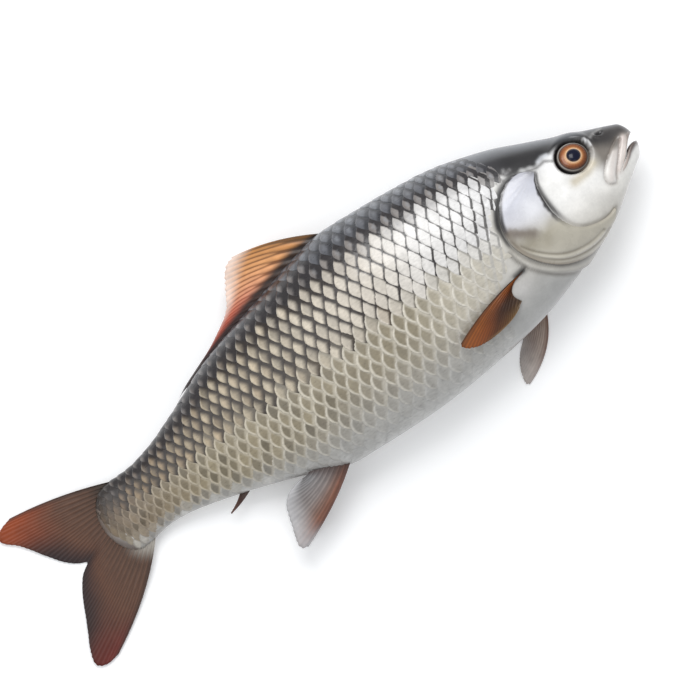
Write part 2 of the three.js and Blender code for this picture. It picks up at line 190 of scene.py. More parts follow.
def to_scene(points):
    """Millimetres behind the snout, up and above the table become metres in the row frame."""
    p = np.asarray(points, float)
    return np.stack([snout_x - p[..., 0] * MM, middle_y + p[..., 1] * MM, p[..., 2] * MM], -1)


def linear(rgb):
    """Everyday 0 to 255 colour values as the renderer's linear light."""
    c = np.asarray(rgb, float) / 255
    return np.where(c <= 0.04045, c / 12.92, ((c + 0.055) / 1.055) ** 2.4)


def grid_quads(rows, columns, closed=False):
    """Corner numbers of the quads of a rows x columns grid; closed joins the last column to the
    first. Rows run away from the viewer's left hand, so the faces look outwards."""
    r = np.arange(rows - 1)[:, None] * columns
    c = np.arange(columns if closed else columns - 1)[None, :]
    d = (c + 1) % columns
    return np.stack([r + c, r + d, r + d + columns, r + c + columns], -1).reshape(-1, 4)


def fan(pole, first, count, turned=False):
    """Triangles from a pole's point to a ring of count points, whose first has the given number;
    turned ones face the other way."""
    k = np.arange(count)
    here, there = first + k, first + (k + 1) % count
    return np.stack([np.full(count, pole), *((here, there) if turned else (there, here))], -1)


def placed(name, mesh):
    """The mesh as an object in the scene, at the origin."""
    piece = bpy.data.objects.new(name, mesh)
    scene.collection.objects.link(piece)
    return piece


def make_piece(name, points, quads, tris=(), colours=()):
    """A mesh object from points in mm, its faces, and named colours that are kept on the points."""
    mesh = bpy.data.meshes.new(name)
    quads, tris = np.asarray(quads, int).reshape(-1, 4), np.asarray(tris, int).reshape(-1, 3)
    corners = np.concatenate([quads.ravel(), tris.ravel()])
    sizes = np.concatenate([np.full(len(quads), 4), np.full(len(tris), 3)])
    mesh.vertices.add(len(points))
    mesh.vertices.foreach_set("co", to_scene(points).ravel())
    mesh.loops.add(len(corners))
    mesh.loops.foreach_set("vertex_index", corners)
    mesh.polygons.add(len(sizes))
    mesh.polygons.foreach_set("loop_start", np.cumsum(sizes) - sizes)
    mesh.update(calc_edges=True)
    for key, values in dict(colours).items():
        rgba = np.ones((len(points), 4))
        rgba[:, : values.shape[1]] = values
        kept = mesh.color_attributes.new(key, "FLOAT_COLOR", "POINT")
        kept.data.foreach_set("color", rgba.ravel())
    mesh.shade_smooth()
    return placed(name, mesh)


def points_of(mesh):
    """All of a mesh's points as rows of one array, in metres."""
    co = np.zeros(len(mesh.vertices) * 3)
    mesh.vertices.foreach_get("co", co)
    return co.reshape(-1, 3)


def outward(piece):
    """Turns a closed piece's faces outwards if its enclosed volume comes out negative."""
    mesh = piece.data
    mesh.calc_loop_triangles()
    tri = np.zeros(len(mesh.loop_triangles) * 3, int)
    mesh.loop_triangles.foreach_get("vertices", tri)
    a, b, c = np.moveaxis(points_of(mesh)[tri.reshape(-1, 3)], 1, 0)
    if np.einsum("ij,ij->i", a, np.cross(b, c)).sum() < 0:
        mesh.flip_normals()
    return piece


def finish_piece(piece, stands_for=()):
    """Fixes a piece to the fish's one body, and hides the CAD nodes it replaces."""
    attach(piece, "root")
    if stands_for:
        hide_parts(*stands_for)


def step(low, high, x):
    """0 below low, 1 above high, and a smooth rise between them."""
    t = np.clip((x - low) / (high - low), 0, 1)
    return t * t * (3 - 2 * t)


def distance_to(path, s, y):
    """Side-view distance from points to a line through the path's points."""
    found = np.full(np.shape(s), 1e9)
    for (s0, y0), (s1, y1) in zip(path[:-1], path[1:]):
        ds, dy = s1 - s0, y1 - y0
        t = np.clip(((s - s0) * ds + (y - y0) * dy) / (ds * ds + dy * dy), 0, 1)
        found = np.minimum(found, np.hypot(s - s0 - t * ds, y - y0 - t * dy))
    return found


def near(path, width, s, y):
    """1 on the path, falling off as a bell of the given width in mm."""
    return np.exp(-((distance_to(path, s, y) / width) ** 2))


def rounded(path, times=3):
    """The path with its corners cut, so that it runs as a smooth curve."""
    p = np.array(path, float)
    for _ in range(times):
        q = p[:-1] * 0.75 + p[1:] * 0.25
        r = p[:-1] * 0.25 + p[1:] * 0.75
        p = np.concatenate([p[:1], np.stack([q, r], 1).reshape(-1, 2), p[-1:]])
    return p


def toward(colour, amount, other):
    """The colour moved towards the other one by the amount, from 0 to 1."""
    return colour + (other - colour) * amount[..., None]


def mixed(colour, amount, rgb):
    """The colour moved towards an everyday 0 to 255 one by the amount."""
    return toward(colour, amount, linear(rgb))


def ramp(at, *keys):
    """Colours between keys (place, r, g, b), blended in linear light."""
    keys = np.array(keys, float)
    tones = linear(keys[:, 1:])
    return np.stack([np.interp(at, keys[:, 0], tones[:, k]) for k in range(3)], -1)


def stroked(colour, s, y, strokes):
    """The colour with lines painted over it in turn, each given as its strength, its path, its
    width in mm and its own colour."""
    for strength, path, width, rgb in strokes:
        colour = mixed(colour, strength * near(path, width, s, y), rgb)
    return colour


# Side-view lines of the head, as [mm behind the snout, mm up].
eye_spot = (29.5, 9.6)
eye_size = (8.6, 8.0)  # half length, half height
cheek_edge = rounded([(49, 13.5), (51.9, 8), (52.4, 0), (51.9, -7), (50.4, -13), (46.5, -18.6),
                      (40, -21.6), (32, -22.6), (27, -21)])
lower_cheek = rounded([(50, -21), (43, -24.3), (35, -24.6), (28, -22.6)])
jaw_groove = rounded([(8, 4.8), (13, 2.2), (19, -1.8), (23.6, -7), (23.4, -11.2), (20, -12.4)])
lip_groove = rounded([(6.6, 3.4), (10.5, -0.9), (14.5, -5.4), (17.6, -8.6), (18.8, -11)])
lip_lobe = rounded([(5, 3), (8.6, -0.8), (12.6, -5.2), (15.6, -8.2)])
jaw_lobe = rounded([(12.6, -0.4), (16, -3.6), (19.4, -6.8), (21, -9.6)])
brow = rounded([(19, 12), (24, 18), (31, 20), (38, 17.5)])
cover_free = rounded([(50.5, 15.5), (55, 18.2), (60, 18.4), (65.7, 16.2), (70.6, 12.5),
                      (73.8, 7.8), (76.4, 3), (77.6, -3), (77.3, -9), (75, -15.3), (70.5, -22),
                      (65, -27), (59, -30.2), (52, -32), (45, -31.6), (38.5, -29.6), (33, -26.6)])
throat_fold = rounded([(79, -9), (77.6, -16), (73.5, -22.6), (67.5, -28.6), (61, -32.8),
                       (54, -35.2), (46, -35)])
fin_slit = [(78, -19.6), (86, -19.8)]
dark_line = np.array([
    [0, 2.6], [6, 3.4], [11, 3.4], [17, 6], [21, 9.6], [25, 14.2], [31, 16.8], [38, 16.6],
    [46, 16.4], [53, 17.4], [60, 19.4], [66, 23.4], [75, 28.8], [90, 33], [110, 35], [150, 36.6],
    [180, 34.6], [220, 29], [250, 19.4], [280, 12], [310, 8],
], float)


def from_eye(s, y):
    """Distance from the eye's middle, measured so that the eyeball's outline is a circle."""
    across = (s - eye_spot[0]) / eye_size[0]
    return np.hypot(across, (y - eye_spot[1]) / eye_size[1]) * eye_size[1]


def bell(s, y, spot, size, power=1.0):
    """1 at a spot of the side view, falling off as a bell of the given length and height."""
    return np.exp(-((((s - spot[0]) / size[0]) ** 2 + ((y - spot[1]) / size[1]) ** 2) ** power))


def head_relief(s, y):
    """How far the bare skin stands out of or under the smooth section: the eye's socket and
    brow, the lips' and cheek's bones and grooves, the nostril and the folds under the throat."""
    r = from_eye(s, y)
    out = -5.5 * (1 - step(6.6, 8.8, r)) + 0.55 * np.exp(-(((r - 9.8) / 1.3) ** 2))
    for height, path, width in (
        (0.5, brow, 2.2), (-0.6, cheek_edge, 0.8), (0.35, cheek_edge - [2.4, 0], 1.6),
        (-0.45, lower_cheek, 0.8), (0.75, lip_lobe, 1.5), (0.7, jaw_lobe, 1.8),
        (-0.75, lip_groove, 0.55), (-0.8, jaw_groove, 0.6), (-1.3, [(12.4, 11.3), (14.2, 11.7)], 0.7),
        (0.5, [(13.6, 9.9), (15.8, 11), (16.2, 12.6)], 0.6), (-0.7, fin_slit, 1.1),
        (0.7, throat_fold, 1.5), (-0.6, throat_fold + [1.8, -1.2], 0.8),
    ):
        out = out + height * near(path, width, s, y)
    out = out + 0.7 * bell(s, y, (39, -4), (9, 10)) + 1.3 * bell(s, y, (84, -26), (6.6, 5.6), 1.5)
    return out - 1.1 * step(0.4, 2.2, cover_depth(s, y))


def inside(outline, s, y):
    """Which points lie inside a closed side-view outline: an odd number of its sides pass above."""
    odd = np.zeros(np.shape(s), bool)
    for (s0, y0), (s1, y1) in zip(outline, np.roll(outline, -1, 0)):
        if s0 != s1:
            crosses = (s0 > s) != (s1 > s)
            odd ^= crosses & (y < y0 + (s - s0) / (s1 - s0) * (y1 - y0))
    return odd


cover_outline = np.concatenate([cheek_edge[::-1], cover_free])


def cover_depth(s, y):
    """How deep a point lies inside the gill cover's outline, in mm; 0 outside it."""
    return np.where(inside(cover_outline, s, y), distance_to(cover_outline, s, y), 0)


def skin_colour(s, y):
    """Linear colours of the bare skin: dark back, silver flank, grey belly, white cheeks, and then
    the head's marks and folds, painted from the snout backwards."""
    back, belly = section(s)[:2]
    q = np.clip((y - belly) / np.maximum(back - belly, 1), 0, 1)
    trunk = ramp(q, (0, 160, 159, 157), (0.1, 168, 167, 164), (0.25, 184, 181, 175),
                 (0.5, 206, 202, 193), (0.8, 214, 211, 205), (1, 214, 211, 205))
    head = ramp(y, (-36, 156, 154, 150), (-28, 172, 168, 162), (-20, 198, 194, 186),
                (-12, 228, 225, 219), (-4, 242, 240, 236), (8, 240, 238, 234), (16, 226, 225, 224))
    colour = toward(trunk, 1 - step(50, 74, s), head)
    colour = mixed(colour, 0.75 * step(230, 300, s) * step(0.25, 0.5, q), (120, 108, 92))
    snout = (1 - step(18, 27, s)) * step(-3, 3, y + (s - 10) * 0.3)
    colour = mixed(colour, snout * 0.95, (112, 104, 95))
    under_eye = (0.7, [(24, 1.6), (28, 0), (36, -0.6)], 2.4, (196, 182, 152))
    colour = stroked(colour, s, y, [under_eye])
    behind = step(-4, 9, 0.85 * (s - eye_spot[0]) + 0.35 * (y - eye_spot[1]))
    colour = mixed(colour, 1 - step(7.0, 8.0, from_eye(s, y) - 1.5 * behind), (30, 26, 26))

    ragged = (0.6 * np.sin(0.55 * s + 1) + 0.3 * np.sin(1.4 * s + 0.3 * y)) * step(34, 42, s)
    soft = 2.2 * (1 - step(18, 28, s))
    above = y - smooth(dark_line, 1, s) + ragged * (1 - step(76, 90, s))
    # A painted rim light: along the top of the back the dark cap turns grey towards the outline.
    ridge = step(0.9, 1, q) * 0.75 * (0.45 + 0.55 * step(8, 40, s))
    black = ramp(s, (0, 74, 70, 68), (14, 48, 44, 43), (30, 28, 26, 27), (56, 30, 28, 29),
                 (68, 52, 51, 54), (80, 78, 79, 84))
    black = mixed(black, ridge, (128, 131, 136))
    colour = toward(colour, step(-1.0 - soft, 1.8 + soft, above), black)

    colour = stroked(colour, s, y, [
        # the glint in front of the eye, the nostril's rim and the nostril
        (0.85, [(20.6, 13.4), (19.8, 11), (19.9, 9.2)], 0.6, (225, 225, 225)),
        (0.6, [(11.4, 12.6), (15, 12.9), (17.6, 12.2)], 0.7, (150, 148, 146)),
        (0.9, [(12.2, 11.2), (14.4, 11.6)], 0.8, (24, 22, 22)),
        # the cheek's rear edge: black above, brown below
        (0.97 * step(-18, -4, y), cheek_edge - [0.3, 0], 1.5, (32, 28, 27)),
        (0.5 * (1 - step(-16, -8, y)), cheek_edge, 1.0, (132, 122, 106)),
        # the seam over the cheek, a silver patch on it, and flecks over the gill cover
        (0.75, [(39, 13.5), (42, 15.6), (47, 15), (51, 16.4)], 0.8, (54, 50, 48)),
        (0.7, [(39.4, 17.2), (42, 17.8), (44.6, 17.0)], 0.9, (206, 208, 212)),
        (0.5, [(57.6, 21.6), (61.6, 21.0), (60, 23.2)], 0.8, (176, 174, 174)),
        *[(0.75, [(s0, y0), (s0 + 1.3, y0 + 1.9)], 0.5, (66, 62, 60)) for s0, y0 in
          ((57.4, 20.4), (60.6, 20.8), (63.4, 21.8), (62.6, 19), (66, 19.6))],
        # the cheek's lower fold, the pink bones beside the mouth and the grooves round them
        (0.55, lower_cheek, 1.1, (136, 131, 120)),
        (0.8, lip_lobe, 1.7, (226, 212, 204)),
        (0.7, jaw_lobe, 1.9, (216, 206, 199)),
        (0.85, [(0, -2.6), (3, -2.8), (6.4, -4.2), (8.6, -5.6)], 1.2, (84, 74, 70)),
        (0.5, lip_groove, 0.7, (120, 104, 94)),
        (0.42, jaw_groove, 0.8, (132, 122, 112)),
        # the painted shadow in the slit behind the gill cover, black above and brown below, and a
        # black painted shadow along the cover's top
        (0.95 * step(-24, -4, y), cover_free + [1.0, -0.2], 1.2, (26, 22, 22)),
        (0.75 * (1 - step(-24, -4, y)), cover_free + [1.0, -0.2], 1.2, (92, 86, 78)),
        (0.97 * step(-4, 4, y) * step(54, 60, s), cover_free + [1.5, 0.3], 1.7, (18, 15, 15)),
    ])
    colour = mixed(colour, 0.6 * bell(s, y, (85, -26), (6, 5)), (196, 193, 190))
    colour = stroked(colour, s, y, [
        # the painted shadow in the slit that the pectoral fin grows from, its pale lip, and the
        # throat's fold
        (0.97, [(79, -19.5), (84.4, -20.2)], 1.4, (22, 18, 17)),
        (0.6, [(79.4, -17.4), (76.8, -18.6), (76.4, -20.6)], 0.8, (218, 214, 208)),
        (0.35, throat_fold, 1.4, (206, 200, 186)),
        (0.65, throat_fold + [1.6, -1.0], 1.0, (98, 92, 84)),
    ])
    colour = mixed(colour, 0.6 * step(2, 4, cover_depth(s, y)), (150, 60, 55))
    return mixed(colour, 0.8 * step(303, 310, s + 0.03 * (y + 4) ** 2), (92, 74, 64))


# The skin's rings: close together on the head, wider apart behind it, and closing at both ends.
turns = 208  # points round a ring
head_reach, head_gap, trunk_gap = 86, 0.75, 2.4  # mm
head_rings = snout_radius + np.arange(0, head_reach, head_gap)
trunk_rings = np.arange(head_rings[-1] + trunk_gap / 2, body_length - tail_radius, trunk_gap)
curve = 1 - np.cos(np.linspace(0.12, math.pi / 2, 8))
rings = np.concatenate([snout_radius * curve[:-1], head_rings, trunk_rings,
                        body_length - tail_radius * curve[::-1]])
ring_s, ring_angle = np.meshgrid(rings, np.arange(turns) / turns * 2 * math.pi, indexing="ij")
surface = skin_point(ring_s, ring_angle)
relief = head_relief(surface[..., 0], surface[..., 1]) * step(0, 3, ring_s)
skin_points = (surface + skin_normal(ring_s, ring_angle) * relief[..., None]).reshape(-1, 3)
skin_tones = skin_colour(surface[..., 0].ravel(), surface[..., 1].ravel())
last_ring = len(skin_points) - turns
caps = np.concatenate([fan(len(skin_points), 0, turns),
                       fan(len(skin_points) + 1, last_ring, turns, turned=True)])
poles = [[s, tip_y, float(section(s)[4])]
         for s, tip_y in ((0.0, snout_tip_y), (body_length, tail_end_y))]
skin_points = np.concatenate([skin_points, poles])
skin_points[:, 0] = np.maximum(skin_points[:, 0], snout_gap)
skin_points[:, 2] = settle(skin_points[:, 2])
skin_tones = np.concatenate([skin_tones, skin_tones[[0, -1]]])
skin = outward(make_piece("body_skin", skin_points, grid_quads(len(rings), turns, closed=True),
                          caps, {"tone": skin_tones}))


def socket_of(material):
    """The inputs of the material's main shader."""
    return material.node_tree.nodes["Principled BSDF"].inputs


def node(material, kind, inputs=(), **settings):
    """Adds a shader node, sets it up, and joins or fills its inputs by name or number."""
    made = material.node_tree.nodes.new(kind)
    for key, value in settings.items():
        setattr(made, key, value)
    for key, value in dict(inputs).items():
        if isinstance(value, bpy.types.NodeSocket):
            material.node_tree.links.new(value, made.inputs[key])
        else:
            made.inputs[key].default_value = value
    return made


def wet_material(name, roughness, coat):
    """A shiny wet surface: a base shader with a thin clear coat of slime and water over it."""
    material = bpy.data.materials.new(name)
    material.use_nodes = True
    shader = socket_of(material)
    shader["Roughness"].default_value = roughness
    shader["Coat Weight"].default_value = coat
    shader["Coat Roughness"].default_value = 0.12
    return material


def object_noise(material, scale, detail=3.0, stretch=(1, 1, 1)):
    """Noise in the piece's own coordinates, stretched along its axes."""
    place = node(material, "ShaderNodeTexCoord")
    turned = node(material, "ShaderNodeMapping", {"Vector": place.outputs["Object"],
                                                  "Scale": stretch})
    return node(material, "ShaderNodeTexNoise", {"Vector": turned.outputs["Vector"],
                                                 "Scale": scale, "Detail": detail}).outputs[0]


def ranged(material, value, low, high, to_low=0.0, to_high=1.0, **settings):
    """Turns values from low to high into values from to_low to to_high, in a straight line."""
    return node(material, "ShaderNodeMapRange", {
        "Value": value, "From Min": low, "From Max": high, "To Min": to_low, "To Max": to_high,
    }, **settings).outputs[0]


def tinted(material, colour, factor, low, high):
    """Darkens and lightens a colour between low and high times itself as the factor goes 0 to 1."""
    amount = ranged(material, factor, 0.0, 1.0, low, high)
    return node(material, "ShaderNodeVectorMath", {0: colour, 3: amount},
                operation="SCALE").outputs[0]


def finished(material, colour, grain, gloss, bump=0.0):
    """Joins the colour to the shader, lets the roughness follow a grain between the two values of
    gloss, and lets the same grain raise the surface by up to bump metres."""
    links = material.node_tree.links
    links.new(colour, socket_of(material)["Base Color"])
    links.new(ranged(material, grain, 0.0, 1.0, *gloss), socket_of(material)["Roughness"])
    if bump:
        raised = node(material, "ShaderNodeBump", {"Height": grain, "Distance": bump,
                                                   "Strength": 0.5})
        links.new(raised.outputs[0], socket_of(material)["Normal"])
    return material


def toned_material(name, roughness, coat, grains, gloss, bump=0.0):
    """A wet material in the tones kept on its piece's points. Each grain, given as its scale,
    detail and lowest and highest brightness, is multiplied in, and the first sets the gloss."""
    material = wet_material(name, roughness, coat)
    colour = node(material, "ShaderNodeAttribute", attribute_name="tone").outputs["Color"]
    noises = [object_noise(material, scale, detail) for scale, detail, low, high in grains]
    for noise, (scale, detail, low, high) in zip(noises, grains):
        colour = tinted(material, colour, noise, low, high)
    return finished(material, colour, noises[0], gloss, bump)


skin_material = toned_material("wet_skin", 0.34, 0.3, [(160, 5, 0.8, 1.2), (900, 2, 0.93, 1.07)],
                               (0.25, 0.45), 0.0004)
skin.data.materials.append(skin_material)

# ---- The mouth and the lower jaw -----------------------------------------------------------
# The jaw is a bone of its own under the snout, hinged behind the corner of the lips, and it
# hangs open. Inside, the mouth is hollow and dark red, and a soft lip runs round each edge.
lip_corner, gape_end = (16.8, -10.0), (8.6, -4.6)
upper_gape = [(8.6, -4.4), (6.2, -1.4), (3.6, 1.4), (0.8, 2.9), (-6, 4.2)]
lower_gape = [(-6, -2.2), (0.4, -1.5), (2.6, -1.5), (5.2, -2.2)]
jaw_back = [(28.5, -60), (29.2, -30), (26.6, -24.2), (22.6, -17.4)]
below_snout = (-6, -60)
jaw_outline = [lip_corner, gape_end, *lower_gape[::-1], below_snout, *jaw_back]
head_cut = [lip_corner, *upper_gape, below_snout, *jaw_back]
hollow_centre, hollow_size = (10.6, -3.2), (8.8, 3.3, 6.4)
sharp_edge = math.radians(42)


def blended(material, amount, under, over):
    """The colour under, covered by the colour over as the amount goes from 0 to 1."""
    return node(material, "ShaderNodeMix", {0: amount, 6: under, 7: over},
                data_type="RGBA").outputs[2]


mouth_material = wet_material("mouth_lining", 0.25, 0.5)
flesh = object_noise(mouth_material, 300, 4)
red = blended(mouth_material, flesh, (0.05, 0.016, 0.012, 1), (0.17, 0.065, 0.05, 1))
mouth_material.node_tree.links.new(red, socket_of(mouth_material)["Base Color"])


def prism(name, outline):
    """A cutting block with a side-view outline, which runs right through the head."""
    n = len(outline)
    past_left, past_right = -30.0, 80.0  # mm over the table, beyond both flanks
    under, over = (np.column_stack([outline, np.full(n, z)]) for z in (past_left, past_right))
    walls = [(k, (k + 1) % n, (k + 1) % n + n, k + n) for k in range(n)]
    block = bpy.data.meshes.new(name)
    block.from_pydata(to_scene(np.concatenate([under, over])).tolist(), [],
                      [*walls, range(n)[::-1], range(n, 2 * n)])
    return outward(placed(name, block))


def carved(piece, cutter, how, keep_cutter=False):
    """The piece with the cutter's volume taken away (DIFFERENCE) or only what it holds (INTERSECT)."""
    cut = piece.modifiers.new("cut", "BOOLEAN")
    cut.operation, cut.object, cut.solver = how, cutter, "EXACT"
    cut.material_mode = "TRANSFER"
    graph = bpy.context.evaluated_depsgraph_get()
    mesh = bpy.data.meshes.new_from_object(piece.evaluated_get(graph), preserve_all_data_layers=True,
                                           depsgraph=graph)
    piece.modifiers.clear()
    piece.data = mesh
    if not keep_cutter:
        bpy.data.objects.remove(cutter)
    return piece


def ball(name, centre, size, rows=16, columns=32):
    """An ellipsoid from its centre and half sizes in mm: rings of latitude, closed at both poles."""
    lat = np.linspace(0, math.pi, rows + 1)[1:-1][:, None]
    lon = np.arange(columns)[None, :] / columns * 2 * math.pi
    unit = np.stack([np.sin(lat) * np.cos(lon), np.sin(lat) * np.sin(lon), np.cos(lat) + 0 * lon], -1)
    unit = np.concatenate([unit.reshape(-1, 3), [[0, 0, 1], [0, 0, -1]]])
    n = len(unit) - 2
    ends = np.concatenate([fan(n, 0, columns), fan(n + 1, n - columns, columns, turned=True)])
    return outward(make_piece(name, unit * size + centre,
                              grid_quads(rows - 1, columns, closed=True), ends))


def painted(piece):
    """Sets the skin's tone again at every point, since the points made by a cut have none."""
    x, y = points_of(piece.data).T[:2]
    tone = np.ones((len(x), 4))
    tone[:, :3] = skin_colour((snout_x - x) / MM, (y - middle_y) / MM)
    piece.data.color_attributes["tone"].data.foreach_set("color", tone.ravel())


jaw = placed("jaw_skin", skin.data.copy())
jaw.data.name = "jaw_skin"
hollow = ball("mouth_hollow", (*hollow_centre, float(section(8.0)[4])), hollow_size)
head_block, jaw_block = prism("head_block", head_cut), prism("jaw_block", jaw_outline)
for cutter in (hollow, head_block, jaw_block):
    cutter.data.materials.append(mouth_material)
carved(skin, head_block, "DIFFERENCE")
carved(skin, hollow, "DIFFERENCE", keep_cutter=True)
carved(jaw, jaw_block, "INTERSECT")
carved(jaw, hollow, "DIFFERENCE")
for piece in (skin, jaw):
    painted(piece)
    piece.data.set_sharp_from_angle(angle=sharp_edge)
finish_piece(skin, ("body",))
finish_piece(jaw, ("lower_jaw",))


def side_z(s, y, side):
    """Height of the skin over a point of the side view, on the right (1) or left (-1) flank."""
    back, belly, widest, half, middle = section(s)
    reach = np.where(y > widest, back - widest, widest - belly)
    level = np.clip(np.abs(y - widest) / np.maximum(reach, 0.01), 0, 1)
    return middle + side * half * (1 - level**roundness) ** (1 / roundness)


def tube(path, radii, squash, sides):
    """A closed tube along a path of points: a circle of the given radii, turned to stay square to
    the path, flattened up and down by squash, and closed at both ends."""
    run = np.gradient(path, axis=0)
    run /= np.linalg.norm(run, axis=1, keepdims=True)
    across = np.cross(run, [0, 1.0, 0])
    across /= np.maximum(np.linalg.norm(across, axis=1, keepdims=True), 1e-6)
    upward = np.cross(across, run)
    turn = (np.arange(sides) / sides * 2 * math.pi)[None, :, None]
    ring = across[:, None] * np.cos(turn) + upward[:, None] * np.sin(turn) * squash
    points = (path[:, None] + ring * radii[:, None, None]).reshape(-1, 3)
    n = len(points)
    ends = np.concatenate([fan(n, 0, sides), fan(n + 1, n - sides, sides, turned=True)])
    return np.concatenate([points, path[:1], path[-1:]]), grid_quads(len(path), sides, True), ends


def even(path, count):
    """The path's points placed again at equal steps along it."""
    run = np.concatenate([[0], np.cumsum(np.hypot(*np.diff(path, axis=0).T))])
    at = np.linspace(0, run[-1], count)
    return np.stack([np.interp(at, run, path[:, 0]), np.interp(at, run, path[:, 1])], -1)


nose_share = 0.16  # the part of a lip's half that bends round the snout
lip_steps, lip_sides = 26, 12


def lip(name, line, radius, inset, tones):
    """A lip: a tube that follows the mouth's edge from one corner round the snout to the other.
    The line's points run from the corner to the tip, and both flanks mirror it."""
    line = even(rounded(line), lip_steps)
    share = np.linspace(0, 1, lip_steps)
    s, y = line.T
    z = section(s)[4]
    width = np.abs(side_z(s, y, 1) - z) - inset
    turn = np.clip((1 - share) / nose_share, 0, 1)
    round_nose = np.interp(1 - nose_share, share, width) * np.sqrt(turn * (2 - turn))
    width = np.where(share > 1 - nose_share, round_nose, width)
    right = np.stack([s, y, z + width], -1)
    left = np.stack([s, y, z - width], -1)[::-1]
    both = np.concatenate([share, share[::-1][1:]])
    thick = radius * (0.35 + 0.65 * step(0, 0.3, both))
    points, quads, ends = tube(np.concatenate([right, left[1:]]), thick, 0.85, lip_sides)
    tone = ramp(np.append(np.repeat(both, lip_sides), [0, 0]), *tones)
    made = outward(make_piece(name, points, quads, ends, {"tone": tone}))
    made.data.materials.append(skin_material)
    finish_piece(made)


lip("upper_lip",
    [(16.4, -8.8), (12.6, -6.4), (9.2, -3.2), (6.4, -0.2), (3.8, 2.2), (2.2, 3.4), (1.7, 3.8)],
    1.15, 0.5, [(0, 214, 200, 190), (0.5, 220, 208, 200), (0.8, 170, 158, 150), (1, 110, 102, 98)])
lip("lower_lip",
    [(16.4, -10.2), (12, -8), (8.8, -5.9), (5.4, -3.0), (3.4, -2.2), (2.0, -2.0), (1.4, -2.2)],
    1.0, 0.3, [(0, 200, 190, 182), (0.4, 168, 154, 146), (0.75, 104, 92, 86), (1, 82, 74, 70)])

# ---- The scales ----------------------------------------------------------------------------
# Thin round plates of horn, each rooted in the skin with its rear edge free. They lie in
# staggered rows along the body like roof slates, from behind the head to the tail's root.

# Rows: mm behind the snout, a scale's pitch along its row, and the spacing of the rows, in mm.
pitches = np.array([
    [50, 4.4, 4.6], [70, 4.7, 5.0], [90, 5.4, 5.7], [110, 6.2, 6.2], [140, 6.9, 6.3],
    [170, 6.6, 6.0], [200, 6.2, 5.7], [250, 5.5, 5.0], [285, 4.7, 4.2], [300, 3.8, 3.8],
    [312, 3.0, 3.6],
], float)
scale_rise = 0.62  # how far a scale's free edge stands off the skin, mm
row_level = 0.5  # the side view's level that the middle row follows, mm
scale_front = rounded([(72, 60), (72, 38), (68, 30), (62.5, 24), (67.5, 19.8), (75, 14.6), (80, 8),
                       (82, 0), (83.5, -8), (88, -13), (94, -19), (96, -30), (95, -40), (93, -60)])

# A table of the skin's angle at even steps behind the snout and round the flank, in mm.
table_step, arc_step = 2.0, 0.4
table_s = np.arange(40, body_length + table_step, table_step)
table_arc = np.arange(-90, 90, arc_step)
sweep = np.linspace(-0.7, math.pi + 0.7, 700)
table_angle = np.empty((len(table_s), len(table_arc)))
arc_back, arc_belly = np.empty(len(table_s)), np.empty(len(table_s))
for j, s_j in enumerate(table_s):
    round_line = skin_point(np.full(len(sweep), s_j), sweep)
    lengths = np.concatenate([[0], np.cumsum(np.linalg.norm(np.diff(round_line, axis=0), axis=1))])
    flank = (sweep > 0.2) & (sweep < math.pi - 0.2)
    level = np.interp(-row_level, -round_line[flank, 1], lengths[flank])
    table_angle[j] = np.interp(-table_arc, lengths - level, sweep)
    arc_back[j] = level - np.interp(0, sweep, lengths)
    arc_belly[j] = level - np.interp(math.pi, sweep, lengths)


def angle_at(s, arc):
    """The skin's angle at s and an arc length above the middle row, read between the table's rows."""
    i = np.clip((s - table_s[0]) / table_step, 0, len(table_s) - 1.001)
    j = np.clip((arc - table_arc[0]) / arc_step, 0, len(table_arc) - 1.001)
    i0, j0 = i.astype(int), j.astype(int)
    fi, fj = i - i0, j - j0
    low = table_angle[i0, j0] * (1 - fj) + table_angle[i0, j0 + 1] * fj
    high = table_angle[i0 + 1, j0] * (1 - fj) + table_angle[i0 + 1, j0 + 1] * fj
    return low * (1 - fi) + high * fi


# One scale on a grid: along runs from its root to its free edge and over the rim; side runs
# across it. Its free edge is a bow, half a pitch deep at one row's spacing to either side.
scale_reach = 1.16  # half a scale's width, in row spacings
along = np.array([0, 0.3, 0.5, 0.68, 0.82, 0.93, 1.0, 1.0])[None, :, None]
rim = np.array([0, 0, 0, 0, 0, 0, 0, 1.0])[None, :, None]
side = np.array([-scale_reach, -0.86, -0.56, -0.28, 0, 0.28, 0.56, 0.86, scale_reach])[None, None, :]
tip, root_end = 0.62, -0.95


def scale_rows():
    """Where each scale of one flank sits: how far along its row and up from the middle row."""
    fine_step = 0.25
    fine = np.arange(45, body_length + 1, fine_step)
    count = np.concatenate([[0], np.cumsum(fine_step / smooth(pitches, 1, fine[:-1]))])
    seats = []
    for row in range(-24, 25):
        places = np.interp(np.arange(0, count[-1], 1.0) + 0.5 * (row % 2), count, fine)
        seats.append(np.stack([places, np.full(len(places), float(row))], -1))
    return np.concatenate(seats)


